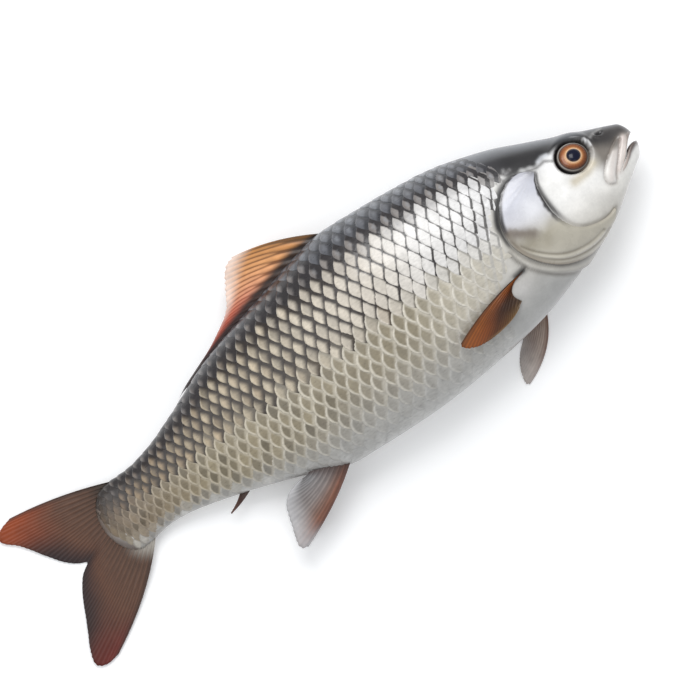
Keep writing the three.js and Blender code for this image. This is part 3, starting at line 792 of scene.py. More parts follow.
def scale_tones(s, y, q, chance):
    """Each scale's middle, root and edge colours, the widths of its root and edge bands, its
    speck's strength and its root line's softness, from where it sits: slate on the back,
    dark-netted below it, silver on the flank, and olive with pale edges under the middle line,
    fading out on the belly."""
    dark_at = smooth(dark_line, 1, s)
    wander = y + 3.0 * (chance[:, 4] - 0.5)
    silver = ramp(s, (60, 204, 203, 203), (112, 212, 209, 205), (135, 208, 200, 188),
                  (160, 200, 190, 174), (200, 190, 178, 156), (240, 172, 158, 134),
                  (280, 140, 122, 98), (305, 98, 78, 62))
    # The root line's colour: dark pigment, together with the painted shadow of the scale in front.
    thin_line = ramp(s, (60, 50, 46, 45), (115, 44, 40, 38), (150, 42, 34, 30), (200, 42, 32, 24),
                     (300, 38, 28, 22))
    olive = ramp(s, (80, 192, 187, 176), (110, 172, 165, 149), (135, 134, 125, 105),
                 (170, 124, 115, 96), (250, 124, 114, 92), (300, 100, 86, 68))
    cream = ramp(s, (80, 206, 202, 193), (130, 206, 199, 184), (200, 200, 192, 174),
                 (260, 184, 173, 151), (300, 140, 124, 106))
    under = 1 - step(-3.0, 1.5, wander)
    low = 1 - step(-45, -13, wander + (s - 150) * 0.02)
    belly = 0.85 * (1 - step(0.0, 0.2, q))
    narrow = 4 * (1 - step(66, 86, s))
    net = step(0, 1, (wander - dark_at + 7 - narrow) / (7.5 - narrow))
    slate = step(1.2, 5.5, wander - dark_at - 5.5 * step(145, 185, s))
    turning = np.exp(-(((wander - 2.2) / 2.2) ** 2))
    turning = turning * step(118, 132, s) * (1 - 0.6 * step(190, 230, s))
    brown = step(190, 270, s)
    # A painted rim light: scales along the top of the back turn grey towards the outline.
    ridge = 0.6 * step(0.95, 1.0, q) * (1 - brown)
    end = step(290, 308, s + 0.02 * (y + 4) ** 2)
    stalk = ramp(y, (-20, 162, 158, 150), (-13, 140, 130, 112), (-6, 106, 91, 72), (4, 66, 54, 43),
                 (12, 44, 37, 33))

    gold = np.where((chance[:, 2] > 0.6)[:, None], linear((134, 112, 72)), linear((108, 97, 74)))
    centre = mixed(toward(silver, under, olive), low * 0.85, (150, 148, 144))
    centre = toward(centre, 0.34 * turning * step(0.35, 0.8, chance[:, 3]), gold)
    edge = mixed(toward(silver, under, cream), low * 0.9, (168, 166, 161))
    root = toward(thin_line, under, 0.35 * olive + 0.65 * cream)
    root = toward(mixed(root, low * 0.95, (156, 154, 150)), 0.15 * turning, gold)
    faint = (1 - step(84, 106, s)) * (1 - step(5, 16, wander))
    root = mixed(root, 0.6 * faint, (158, 156, 153))
    shades = []
    for tone, netted, front_slate, rear_slate, rim_light_tone, at_end in (
        (centre, (124, 118, 114), (84, 85, 90), (82, 72, 64), (118, 122, 128), 0.7),
        (root, (36, 31, 32), (50, 50, 54), (50, 42, 38), (76, 79, 84), 0.85),
        (edge, (116, 110, 107), (90, 91, 96), (90, 78, 68), (128, 132, 138), 0.7),
    ):
        tone = mixed(mixed(tone, belly, (168, 167, 164)), net, netted)
        tone = toward(tone, slate, ramp(brown, (0, *front_slate), (1, *rear_slate)))
        shades.append(toward(mixed(tone, ridge, rim_light_tone), at_end * end, stalk))
    centre, root, edge = shades

    warm = 0.4 * chance[:, 5] * step(165, 215, s) * (1 - under) * (1 - end)
    centre = toward(centre, warm, centre * np.array([0.86, 0.68, 0.5]))
    gain = 1 + (0.12 + 0.6 * step(140, 190, s) * (1 - low)) * (chance[:, 0] - 0.5)
    centre = centre * gain[:, None]
    edge = edge * (1 + 0.12 * (chance[:, 2] - 0.5))[:, None]
    root_width = np.interp(s, [60, 120, 150, 210, 300], [-0.07, -0.05, 0.0, 0.02, 0.06])
    root_width = root_width * (1 - under) - 0.1 * under + 0.12 * (chance[:, 1] - 0.5)
    root_width = root_width + (0.3 - root_width) * net * (1 - slate)
    root_width = root_width + (0.1 - root_width) * slate
    softness = np.interp(s, [60, 115, 150, 180, 210], [0.09, 0.1, 0.26, 0.5, 0.62])
    softness = softness + (0.28 - softness) * np.maximum(under, slate)
    edge_width = 0.04 * (1 - under) + (0.06 + 0.06 * chance[:, 5]) * under
    speck = (slate * 0.5 + net * (1 - slate) * 0.6) * chance[:, 3] * (1 - step(140, 175, s))
    return centre, root, edge, root_width, edge_width, speck, softness


def each(values):
    """One value for each scale, shaped to meet the grid of a scale's points."""
    return values[:, None, None]


def scale_coat(name, flank_side, seed):
    """All the scales of one flank as one mesh. A point lies its share of a pitch along the row and
    of a spacing across it from its scale's seat. Its height over the skin grows from the root to
    the free edge, with a low crown between the sides, and drops to the skin at the rim."""
    draw = np.random.default_rng(seed)
    seat_s, row = scale_rows().T
    spacing = smooth(pitches, 2, seat_s)
    arc = row * spacing
    top, bottom = np.interp(seat_s, table_s, arc_back), np.interp(seat_s, table_s, arc_belly)
    y = skin_point(seat_s, angle_at(seat_s, arc))[:, 1]
    front = np.interp(-y, -scale_front[:, 1], scale_front[:, 0])
    tail_line = 309.5 - 0.024 * (y + 4) ** 2
    keep = (arc < top + 0.2 * spacing) & (arc > bottom + 0.1 * spacing)
    keep = keep & (seat_s > front) & (seat_s < tail_line)
    seat_s, row, y, arc, front = seat_s[keep], row[keep], y[keep], arc[keep], front[keep]
    n = len(seat_s)
    chance = draw.random((n, 6))
    back, belly_y = section(seat_s)[:2]
    q = (y - belly_y) / (back - belly_y)

    bow_power = each(2.2 - 0.55 * step(-4, 8, y) - 0.2 * chance[:, 3])
    bow = np.abs(side) ** bow_power
    rear = tip - 0.5 * bow + 0.012 * np.sin(9 * side + 20 * each(chance[:, 4]))
    u = root_end + (rear - root_end) * along + 0.02 * rim
    drift = 0.14 * np.sin(arc / 7 + seat_s / 23) + 0.55 * (chance[:, 0] - 0.5)
    sway = 0.45 * np.sin(seat_s / 17 + arc / 11) + 0.55 * (chance[:, 1] - 0.5)
    s = np.clip(each(seat_s + drift) + u * each(smooth(pitches, 1, seat_s)), 40, body_length - 0.3)
    across = each(row) + side * (1 - 0.08 * along**3)
    angle = angle_at(s, smooth(pitches, 2, s) * across + each(sway)) * flank_side
    lift = (u - root_end) / (tip - root_end)
    fade = np.interp(q, [0, 0.2, 0.4, 1], [0.35, 0.6, 1, 1])
    fade = fade * np.interp(seat_s - front, [0, 14], [0.3, 1]) * (1 - 0.75 * step(290, 307, seat_s))
    height = scale_rise * each(fade * (0.85 + 0.3 * chance[:, 5])) * lift * (1 - rim)
    crown = (1 - (side / scale_reach) ** 2) * np.sin(math.pi * np.clip(lift, 0, 1))
    height = height + 0.22 * each(fade) * crown - 0.12
    points = (skin_point(s, angle) + skin_normal(s, angle) * height[..., None]).reshape(-1, 3)
    points[:, 2] = settle(points[:, 2])
    size = along.size * side.size
    faces = grid_quads(along.size, side.size)[None] + (np.arange(n) * size)[:, None, None]

    centre, root, edge, root_width, edge_width, speck, softness = scale_tones(seat_s, y, q, chance)
    from_edge = rear - u
    knot = 0.1 * np.exp(-((side / 0.2) ** 2)) + 0.1 * step(0.7, 1.0, np.abs(side))
    # Painted shadow: the root's dark band reaches further on a scale's upper side, where the scale
    # above shades it.
    upper_side_shadow = 0.11 * side * each(step(130, 170, seat_s) * step(-2, 4, y))
    inner = np.clip(1 - np.abs(side), 0, 1) ** bow_power
    to_root = 0.5 * (1 + inner - bow) - from_edge - knot - upper_side_shadow
    aside = (side + scale_reach) / (2 * scale_reach)
    place = np.stack(np.broadcast_arrays(from_edge, aside, to_root, each(softness)), -1)
    # Painted shade: each scale is darker towards its root and its upper side, where the scales in
    # front and above shade it.
    shade = np.interp(seat_s, [110, 170, 230], [0.12, 0.55, 0.7]) * step(-6, 4, y)
    shade = 1.1 - each(shade) * (0.62 * (1 - lift) + 0.38 * (0.5 + 0.43 * side))
    # Painted shadow: on the upper flank the rim under each free edge is at half brightness.
    rim_shadow = 1 - 0.5 * np.broadcast_to(rim * each(step(-3, 3, y)), s.shape)

    def spread(values):
        """Each scale's value again for every point of that scale."""
        return np.repeat(values, size, axis=0)

    made = make_piece(name, points, faces, (), {
        "middle": np.column_stack([spread(centre) * shade.reshape(-1, 1), spread(speck)]),
        "root": np.column_stack([spread(root), spread(root_width)]),
        "edge": np.column_stack([spread(edge) * rim_shadow.reshape(-1, 1), spread(edge_width)]),
        "place": place.reshape(-1, 4),
    })
    if flank_side < 0:
        made.data.flip_normals()
    made.data.materials.append(scale_material)
    finish_piece(made)


def maths(material, operation, *values):
    """The outcome of one arithmetic step on sockets or numbers."""
    return node(material, "ShaderNodeMath", dict(enumerate(values)), operation=operation).outputs[0]


def band(material, value, width, soft):
    """1 where value is under width, falling smoothly to 0 over a soft stretch past it."""
    past = maths(material, "SUBTRACT", value, width)
    return ranged(material, past, 0.0, soft, 1.0, 0.0, interpolation_type="SMOOTHSTEP")


def hump(material, value, low, high):
    """0 at low and at high, and 1 half way between them, as half a sine wave."""
    return maths(material, "SINE", maths(material, "MULTIPLY", ranged(material, value, low, high),
                                         math.pi))


# A scale's finish: its middle colour, then the band of its free edge, the soft dark line of its
# root where the scales in front end, partly dark pigment and partly painted shadow of their
# edges, and a grey speck near the tip, all broken up by streaks.
scale_material = wet_material("wet_scales", 0.3, 0.35)
middle_kept, root_kept, edge_kept, place_kept = (
    node(scale_material, "ShaderNodeAttribute", attribute_name=key).outputs
    for key in ("middle", "root", "edge", "place"))
where = node(scale_material, "ShaderNodeSeparateXYZ", {0: place_kept["Vector"]}).outputs
grain = object_noise(scale_material, 700, 3)
wobble = ranged(scale_material, grain, 0.0, 1.0, -0.06, 0.06)
to_root = maths(scale_material, "ADD", where[2], wobble)
at_root = band(scale_material, to_root, root_kept["Alpha"], place_kept["Alpha"])
shown = maths(scale_material, "SUBTRACT", 1.0, band(scale_material, to_root, -0.3, 0.1))
at_edge = band(scale_material, where[0], edge_kept["Alpha"], 0.17)
colour = blended(scale_material, at_edge, middle_kept["Color"], edge_kept["Color"])
colour = blended(scale_material, maths(scale_material, "MULTIPLY", at_root, shown), colour,
                 root_kept["Color"])
speck = maths(scale_material, "MULTIPLY", hump(scale_material, where[0], 0.15, 0.55),
              hump(scale_material, where[1], 0.34, 0.66))
speck = maths(scale_material, "MULTIPLY", speck, middle_kept["Alpha"])
colour = blended(scale_material, speck, colour, (0.3, 0.31, 0.33, 1))
streaks = object_noise(scale_material, 420, 4, (1, 2.2, 2.2))
patches = object_noise(scale_material, 170, 2, (1.5, 1, 1))
colour = tinted(scale_material, colour, streaks, 0.72, 1.26)
colour = tinted(scale_material, colour, patches, 0.82, 1.18)
finished(scale_material, colour, streaks, (0.2, 0.42), 0.0003)

scale_coat("scales_right", 1, 7)
scale_coat("scales_left", -1, 11)

# ---- The eyes ------------------------------------------------------------------------------
# Each eyeball is a separate ball in a socket: a black lens that bulges through the pupil, a
# thin ring of pale iris, a broad orange one, and the silvery ball round it, all glassy and wet.
pupil, iris = 0.385, 0.8  # radii as shares of the eyeball's
spokes, bowl_rings = 72, 8
ball_depth, ball_sunk = 5.0, 3.35  # mm, half the ball's depth and how deep its middle lies
eye_rings = np.concatenate([np.linspace(0.06, 0.35, 7), np.linspace(0.37, 1.0, 34)])


def flank_axes(s, y, flank_side):
    """A point on the flank with the skin's two directions, to the rear and up, and its normal."""
    def at(ds, dy):
        """The flank's point a little to the rear and up."""
        return np.array([s + ds, y + dy, float(side_z(s + ds, y + dy, flank_side))])

    rearward, upward = at(0.5, 0) - at(-0.5, 0), at(0, 0.5) - at(0, -0.5)
    rearward /= np.linalg.norm(rearward)
    normal = np.cross(rearward, upward) * flank_side
    normal /= np.linalg.norm(normal)
    return at(0, 0), rearward, np.cross(normal, rearward) * flank_side, normal


def dome(r):
    """A ball's height over its middle at a radius from 0 to 1."""
    return ball_depth * np.sqrt(np.clip(1 - r**2 * 0.98, 0, 1))


def eyeball(name, flank_side, stands_for):
    """A dome over rings and spokes: height falls from the lens to the rim, and a lower bowl
    closes it behind."""
    turn = np.arange(spokes) / spokes * 2 * math.pi
    r, t = np.meshgrid(eye_rings, turn, indexing="ij")
    lens = 0.55 * np.sqrt(np.clip(1 - (r / pupil) ** 2, 0, 1))
    lens = lens + 0.1 * (1 - step(pupil - 0.03, pupil + 0.03, r))
    dip = -0.35 * np.exp(-(((r - 0.5) / 0.12) ** 2)) - 0.15 * np.exp(-(((r - iris) / 0.03) ** 2))
    bowl_r = np.linspace(0.96, 0.05, bowl_rings)[:, None] + 0 * turn
    height = np.concatenate([dome(r) + lens + dip, -dome(bowl_r)]) - ball_sunk
    r, t = np.concatenate([r, bowl_r]), np.concatenate([t, t[:bowl_rings]])
    centre, rearward, upward, normal = flank_axes(*eye_spot, flank_side)
    flat = (r * np.cos(t))[..., None] * rearward * eye_size[0]
    flat = flat + (r * np.sin(t))[..., None] * upward * eye_size[1]
    points = (centre + flat + height[..., None] * normal).reshape(-1, 3)
    n = len(points)
    points = np.concatenate([points, [centre + normal * 2.3, centre - normal * 8.3]])
    ends = np.concatenate([fan(n, 0, spokes), fan(n + 1, n - spokes, spokes, turned=True)])

    # Painted light and shade: the iris and the ring round it are lit above and in front and shaded
    # below and behind.
    shade = 0.5 + 0.5 * np.sin(t + 0.6)  # the ring round the iris is pale only above and in front
    streak = 0.5 + 0.25 * np.sin(23 * t + 3 * r) + 0.25 * np.sin(41 * t - 5 * r)
    tone = ramp(r, (0, 3, 7, 36), (pupil - 0.02, 4, 8, 36), (pupil + 0.01, 80, 52, 36),
                (pupil + 0.05, 230, 196, 160), (0.47, 214, 166, 122), (0.55, 176, 112, 66),
                (0.66, 146, 84, 46), (0.76, 112, 66, 40), (iris, 66, 44, 34), (0.825, 96, 84, 76),
                (0.85, 172, 166, 158), (0.89, 112, 106, 100), (0.92, 34, 30, 30), (1, 24, 21, 21))
    on_iris = step(pupil + 0.03, pupil + 0.09, r) * (1 - step(iris, iris + 0.03, r))
    darker = (0.34 * (1 - shade) * step(0.5, 0.62, r) + 0.2 * streak) * on_iris
    tone = tone * (1 - darker)[..., None]
    tone = tone * (1 - 0.6 * (1 - shade) * step(iris, 0.84, r))[..., None]
    in_front = step(0.1, 0.8, -0.85 * np.cos(t) - 0.5 * np.sin(t))
    tone = mixed(tone, 0.85 * in_front * step(0.9, 0.95, r), (150, 138, 124))
    tone = np.concatenate([tone.reshape(-1, 3), linear([[6, 8, 20], [40, 36, 36]])])
    made = outward(make_piece(name, points, grid_quads(len(r), spokes, True), ends, {"tone": tone}))
    made.data.materials.append(eye_material)
    finish_piece(made, (stands_for,))


eye_material = toned_material("wet_eye", 0.22, 0.2, [(1800, 3, 0.8, 1.2)], (0.12, 0.3))
socket_of(eye_material)["Coat Roughness"].default_value = 0.03
socket_of(eye_material)["Specular IOR Level"].default_value = 0.25
eyeball("eyeball_right", 1, "eye_right")
eyeball("eyeball_left", -1, "eye_left")

# ---- The gill covers -----------------------------------------------------------------------
# A thin bony plate over each side of the gills, joined to the cheek in front and free behind,
# with a soft skin hem along its free edge. Faint ribs fan out from its hinge at the top.
plate_rib = rounded([(74, -10.5), (71, -15), (66, -20), (60.5, -24), (54, -26.4), (46, -27),
                     (38, -25.6)])
plate_hem = rounded([(76.6, -6), (75, -12.6), (70, -19.6), (64, -25), (57, -28.4), (50, -29.4),
                     (42, -28.8), (35, -26.4)])
plate_thickness = 0.8


def closed_pair(rows, columns):
    """Faces of two grids that lie one over the other: the upper one, the lower one turned over,
    and a wall round the rim that joins them."""
    n = rows * columns
    upper = grid_quads(rows, columns)
    a, b = np.arange(rows - 1) * columns, np.arange(columns - 1)
    end_a, end_b = a + columns - 1, n - columns + b
    return np.concatenate([
        upper, upper[:, ::-1] + n,
        np.stack([a, a + columns, a + columns + n, a + n], -1),
        np.stack([end_a, end_a + n, end_a + columns + n, end_a + columns], -1),
        np.stack([b, b + n, b + 1 + n, b + 1], -1),
        np.stack([end_b, end_b + 1, end_b + 1 + n, end_b + n], -1),
    ])


def plate_tones(s, y, v, ribs):
    """The plate's colours: pearly above, olive below a ragged border, with dark lines along its
    front and free edges, its rib and its hem."""
    tone = ramp(y, (-32, 178, 173, 162), (-24, 178, 172, 158), (-12, 184, 178, 162),
                (-8, 196, 192, 184), (-1, 210, 209, 213), (8, 204, 205, 214), (18, 184, 184, 192))
    # A painted highlight: near white in the middle of the plate.
    tone = mixed(tone, 0.5 * bell(s, y, (59, 1), (6, 7)), (246, 246, 248))
    below = 2 - 0.7 * (78 - s) - y + 0.8 * np.sin(0.8 * s) + 0.4 * np.sin(1.9 * s + y)
    olive_part = step(-0.8, 1.6, below) * (1 - step(2, 12, below)) * step(54, 70, s)
    tone = mixed(tone, 0.65 * olive_part, (138, 129, 112))
    tone = stroked(tone, s, y, [
        (0.8, [(76.6, -0.6), (73, -4.2), (69, -6.4), (66.4, -8.6)], 2.5, (112, 101, 93)),
        (0.6, [(76.6, -3), (75.6, -8.6), (72.6, -14.6)], 1.8, (128, 118, 102)),
    ])
    tone = mixed(tone, 0.6 * bell(s, y, (71, -12), (5, 5)), (142, 134, 116))
    tone = stroked(tone, s, y, [(0.35, [(64, -16.5), (60, -12), (56, -9)], 2.2, (150, 142, 122))])
    tone = mixed(tone, 0.8 * bell(s, y, (50, 15.5), (2.6, 2.4)), (70, 66, 64))
    tone = stroked(tone, s, y, [
        (0.75, plate_rib, 0.6, (104, 95, 80)),
        (0.5, plate_rib + [1.2, -0.9], 1.0, (214, 208, 193)),
        (0.7, plate_hem, 0.6, (110, 101, 88)),
    ])
    tone = mixed(tone, 0.7 * step(0.9, 0.985, v) * (1 - step(-14, -2, y)), (128, 116, 102))
    tone = mixed(tone, 0.95 * step(0.9, 0.955, v) * step(-6, 2, y), (26, 22, 22))
    ragged = 0.012 * np.sin(0.9 * y) + 0.006 * np.sin(2.1 * y + 1)
    tone = mixed(tone, 0.95 * (1 - step(0.07, 0.13, v + ragged)) * step(-18, -4, y), (32, 28, 27))
    return mixed(tone, 0.35 * np.clip(ribs, 0, 1), (198, 196, 198))


def gill_cover(name, flank_side, stands_for):
    """A plate between the cheek's rear line and the free edge: two skins a thickness apart that
    follow the flank's normal, joined round the rim. v runs from its front to its free edge."""
    rows, columns = 90, 44
    v = np.linspace(0, 1, columns)[None, :] ** 0.9 + np.zeros((rows, 1))
    flat = toward(even(cheek_edge, rows)[:, None], v, even(cover_free, rows)[:, None])
    s, y = flat[..., 0], flat[..., 1]
    lift = -0.7 + 1.35 * step(0, 0.1, v) + 0.75 * np.sin(math.pi * np.clip(v, 0, 1)) ** 0.8
    lift = lift - 0.35 * near(plate_rib, 0.7, s, y) + 0.3 * near(plate_rib + [1.0, -0.8], 1.0, s, y)
    lift = lift - 0.25 * near(plate_hem, 0.6, s, y)
    spin = np.arctan2(y - 14, s - 50)
    ribs = np.sin(spin * 34) * step(0.15, 0.4, v) * (1 - step(-14, -6, -y - 2))
    lift = lift + 0.02 * ribs + 0.12 * np.sin(0.35 * s + 1.3) * np.sin(0.28 * y)
    back, belly_y, widest = section(s)[:3]
    level = (y - widest) / np.where(y > widest, back - widest, widest - belly_y)
    angle = np.arccos(np.clip(signed_power(level, roundness / 2), -1, 1)) * flank_side
    base, normal = skin_point(s, angle), skin_normal(s, angle)
    hem = plate_thickness * (1 - 0.35 * step(0.9, 1, v))
    upper, lower = base + normal * lift[..., None], base + normal * (lift - hem)[..., None]
    points = np.concatenate([upper.reshape(-1, 3), lower.reshape(-1, 3)])
    if flank_side < 0:
        points[:, 2] = settle(points[:, 2])
    tone = plate_tones(s, y, v, ribs).reshape(-1, 3)
    # The lower skin, under the plate, takes the upper one's tones at 0.6 as painted shade.
    made = outward(make_piece(name, points, closed_pair(rows, columns), (),
                              {"tone": np.concatenate([tone, tone * 0.6])}))
    made.data.materials.append(plate_material)
    finish_piece(made, (stands_for,))


plate_material = toned_material("gill_plate", 0.28, 0.45,
                                [(110, 5, 0.84, 1.14), (600, 3, 0.95, 1.05)], (0.18, 0.38), 0.0005)
gill_cover("gill_plate_right", 1, "gill_cover_right")
gill_cover("gill_plate_left", -1, "gill_cover_left")

# ---- The tail fin --------------------------------------------------------------------------
# A fan of bony rays with thin skin between them, in two lobes, brown with red tips, limp on the
# table at its edge. As in every fin here the rays are round and stand proud; part of the way out
# each one forks, and at the edge the skin frays back between their tips.
table_gap, lower_skin_gap = 0.12, 0.02  # mm kept under a fin's upper and lower skins
ray_columns = 8  # points across a ray and the skin beside it


def wave(count, times):
    """1 on each ray and 0 half way between two, where count is rays passed and times their forks."""
    return (0.5 + 0.5 * np.cos(2 * math.pi * times * count)) ** 1.5


def fin(name, root, bend, edge, height, rays, thick, tones, stands_for, fray=0.05, steps=38):
    """A fin between its root line and its edge: each ray is a bow from root through bend to edge,
    height(s, y, u, v) is its middle's height over the table, and the thickness follows the rays'
    ridges. u runs from the first ray to the last and v from the root to the edge."""
    columns = rays * ray_columns + 1
    u, v = np.meshgrid(np.linspace(0, 1, columns), np.linspace(0, 1, steps), indexing="ij")
    a, b, c = (even(rounded(line), columns)[:, None] for line in (root, bend, edge))
    fork = step(0.3, 0.6, v)
    ridge = wave(u * rays, 1) * (1 - fork) + wave(u * rays, 2) * fork
    uneven = 0.6 + 0.4 * np.sin(u * 61) * np.sin(u * 23 + 1)
    w = (v * (1 - fray * uneven * (1 - wave(u * rays, 2)) * step(0.5, 1, v)))[..., None]
    flat = (1 - w) ** 2 * a + 2 * w * (1 - w) * b + w * w * c
    s, y = flat[..., 0], flat[..., 1]
    folds = 0.25 * np.sin(2 * math.pi * u * rays / 3) * step(0.3, 1, v) * fray / 0.05
    middle = height(s, y, u, v) + folds
    half = (thick[0] + (thick[1] - thick[0]) * v**0.7) * (0.4 + 0.6 * ridge) / 2
    upper = np.stack([s, y, np.maximum(middle + half, table_gap)], -1).reshape(-1, 3)
    lower = np.stack([s, y, np.maximum(middle - half, lower_skin_gap)], -1).reshape(-1, 3)
    tone = tones(s, y, u, v, ridge).reshape(-1, 3)
    made = outward(make_piece(name, np.concatenate([upper, lower]), closed_pair(columns, steps),
                              (), {"tone": np.concatenate([tone, tone])}))
    made.data.materials.append(fin_material)
    finish_piece(made, (stands_for,))


fin_material = toned_material("wet_fin", 0.42, 0.1, [(260, 5, 0.78, 1.22)], (0.25, 0.5))
socket_of(fin_material)["Specular IOR Level"].default_value = 0.3


def spine_height(s):
    """Height of the body's middle over the table."""
    return section(np.minimum(s, body_length))[4]


def tail_tones(s, y, u, v, ridge):
    """Brown rays, redder in both tips, dark along the rims and the notch, and skin-coloured where
    the fin leaves the stalk."""
    tone = ramp(v, (0, 84, 64, 52), (0.3, 92, 66, 52), (0.6, 96, 64, 48), (0.85, 78, 50, 40),
                (1, 60, 40, 34))
    tone = tone * (0.74 + 0.36 * ridge)[..., None]
    tone = mixed(tone, 0.85 * (1 - step(0.04, 0.34, u)) * step(0.45, 0.95, v), (152, 66, 24))
    tone = mixed(tone, 0.75 * step(0.72, 1.0, u) * step(0.55, 1.0, v), (112, 34, 26))
    tone = mixed(tone, 0.7 * (1 - step(0.0, 0.045, np.minimum(u, 1 - u))), (52, 36, 30))
    inner = step(0.6, 1, v) * step(0.14, 0.36, u) * (1 - step(0.68, 0.9, u))
    tone = mixed(tone, 0.8 * inner, (38, 28, 30))
    middle = step(0.3, 0.75, v) * np.exp(-(((u - 0.5) / 0.05) ** 2))
    tone = mixed(tone, 0.5 * middle, (44, 30, 28))
    pale = (1 - step(0.06, 0.24, v + 0.02 * ridge)) * step(0.66, 0.9, u)
    tone = mixed(tone, 0.9 * pale, (166, 161, 152))
    tone = mixed(tone, 0.7 * (1 - step(0.04, 0.16, v)) * (1 - step(0.55, 0.8, u)), (108, 96, 80))
    return mixed(tone, 0.8 * (1 - step(0.08, 0.26, v)) * (1 - step(0.06, 0.2, u)), (46, 39, 34))


def tail_height(s, y, u, v):
    """From the stalk's middle down to the table, with low waves near the edge."""
    down = step(0, 1, v)
    return spine_height(s) * (1 - down) + 0.5 * down + 0.5 * np.sin(u * 9) * v**2 + 0.5 * v


fin("tail_fan",
    [(293, 12.6), (299.5, 7), (302.5, 1), (303.5, -5), (302.5, -11), (299.5, -16.5), (292, -20.8)],
    [(318, 23), (322, 14), (322, 4), (316, -6), (321, -17), (320, -28), (310, -41)],
    [(343, 26.6), (350, 25), (353.8, 21.4), (352, 18), (347, 13.8), (343, 8), (338.6, 1),
     (334, -5.6), (329, -9.8), (324.4, -11.6), (328, -13.4), (331.6, -16), (336.4, -23), (340, -30),
     (344, -38), (348.4, -45.6), (350.6, -51.6), (349.6, -55), (345, -56.4), (339, -55.4)],
    tail_height, 25, (2.0, 0.7), tail_tones, "tail_fin", fray=0.008, steps=44)


# ---- The dorsal fin ------------------------------------------------------------------------
# A long low sail on the ridge of the back, folded backwards. Its rays are orange with paler skin
# between them, redder behind, and its base is black where it grows out of the back.
def dorsal_tones(s, y, u, v, ridge):
    """Light rays and darker skin from front to rear, pale at the tip, and red to black with the
    depth at the base."""
    light = ramp(u, (0, 180, 120, 58), (0.16, 226, 162, 106), (0.36, 232, 164, 130),
                 (0.5, 214, 132, 104), (0.66, 184, 90, 70), (0.8, 156, 62, 48), (1, 120, 48, 38))
    line = ramp(u, (0, 98, 66, 28), (0.3, 138, 82, 46), (0.55, 126, 62, 42), (1, 76, 34, 28))
    tone = toward(line, step(0.0, 0.5, ridge), light)
    tone = mixed(tone, 0.8 * step(0.7, 1.0, v) * (1 - step(0.5, 0.75, u)), (246, 226, 214))
    tone = mixed(tone, 0.8 * (1 - step(0.0, 0.05, u)) * (1 - step(0.3, 0.9, v)), (58, 44, 32))
    above = y - section(s)[0]
    tone = mixed(tone, 0.72 * step(178, 202, s) * (1 - step(4, 11, above)), (158, 62, 46))
    base = 4.4 * step(143, 164, s) * (1 - 0.6 * step(186, 222, s)) + 1.8
    tone = mixed(tone, 0.96 * (1 - step(0.35 * base, base, above)), (28, 21, 20))
    return mixed(tone, 0.9 * step(222, 230, s), (44, 34, 33))


def dorsal_height(s, y, u, v):
    """Over the middle of the back, drooping a little towards its edge."""
    return spine_height(s) - 3.0 * v**2 + 0.4 * np.sin(u * 14) * v


fin("dorsal_fan",
    [(s, float(section(s)[0]) - 1.4) for s in (143.5, 155, 170, 190, 208, 222, 234)],
    [(164, 61.4), (174, 57), (185, 51.6), (197, 45.6), (209, 40.4), (223, 35), (240, 28.4)],
    [(186, 64.9), (190.6, 63.6), (194.6, 58.8), (197.8, 53.6), (201.2, 47.6), (205.4, 43.8),
     (211, 40.6), (220, 35.8), (231, 31.8), (240, 28.4), (245.6, 25)],
    dorsal_height, 14, (1.9, 0.5), dorsal_tones, "dorsal_fin", fray=0.03)

# ---- The pelvic fins -----------------------------------------------------------------------
# A soft pair under the belly, brown in front and grey behind, one shape on both sides. The
# upper one trails off the flank, and the lower one droops to the table.
pelvic_root = [(197, -45.6), (203, -42.6), (210, -39.4), (215, -37.8)]
pelvic_bend = [(213, -57.6), (216, -51), (217, -46), (219, -39.2)]
pelvic_edge = [(236, -66.2), (239, -65.4), (239.6, -62.4), (237.6, -57), (235.4, -50),
               (233.4, -44.6), (230, -40.8), (225, -39), (219.6, -38.4)]
pelvic_level = float(spine_height(198.0))  # where the fins' front rays leave the belly


def pelvic_tones(s, y, u, v, ridge):
    """Red brown on the first rays and grey on the others, dark at the root and pale at the edge."""
    tone = ramp(u, (0, 96, 64, 54), (0.1, 128, 84, 66), (0.22, 124, 96, 84), (0.4, 134, 124, 120),
                (0.8, 132, 130, 130), (1, 112, 110, 110))
    tone = tone * (0.74 + 0.38 * ridge)[..., None]
    tone = mixed(tone, 0.75 * (1 - step(0, 0.34, v)), (66, 48, 44))
    return mixed(tone, 0.75 * step(0.66, 1, v), (192, 191, 192))


def upper_pelvic_height(s, y, u, v):
    """A little over the body's middle, sinking towards the first rays' tips."""
    return pelvic_level + 4 - 6 * v**2 * (1 - 0.9 * u**2) + 0.5 * np.sin(u * 11) * v


def lower_pelvic_height(s, y, u, v):
    """From under the body's middle down to the table."""
    left = 1 - step(0, 1, v) * (1 - 0.85 * u**2)
    return 0.6 + (pelvic_level - 4.6) * left + 0.4 * np.sin(u * 9) * v


for name, height, stands_for in (
    ("pelvic_fan_right", upper_pelvic_height, "pelvic_fin_right"),
    ("pelvic_fan_left", lower_pelvic_height, "pelvic_fin_left"),
):
    fin(name, pelvic_root, pelvic_bend, pelvic_edge, height, 8, (2.0, 0.5), pelvic_tones,
        stands_for, fray=0.014)


# ---- The anal fin --------------------------------------------------------------------------
# A few short rays behind the vent, folded together to a dark spike that points backwards.
# The skin between them is closed up, so they read as one.
def anal_tones(s, y, u, v, ridge):
    """Grey at the root and brown on the rays, darker in the grooves between them."""
    tone = ramp(v, (0, 96, 82, 76), (0.5, 72, 52, 46), (1, 92, 62, 52))
    return tone * (0.8 + 0.35 * ridge)[..., None]


def anal_height(s, y, u, v):
    """Level with the body's middle."""
    return spine_height(s)


fin("anal_fan", [(241.5, -28.2), (244, -27), (246.6, -25.8)],
    [(248, -31.4), (247.6, -29.6), (247, -27.4)],
    [(256.4, -32.8), (257, -32.3), (254.2, -31.2), (250.6, -29.4), (247.8, -27.4)],
    anal_height, 4, (1.8, 0.6), anal_tones, "anal_fin", fray=0.03, steps=20)


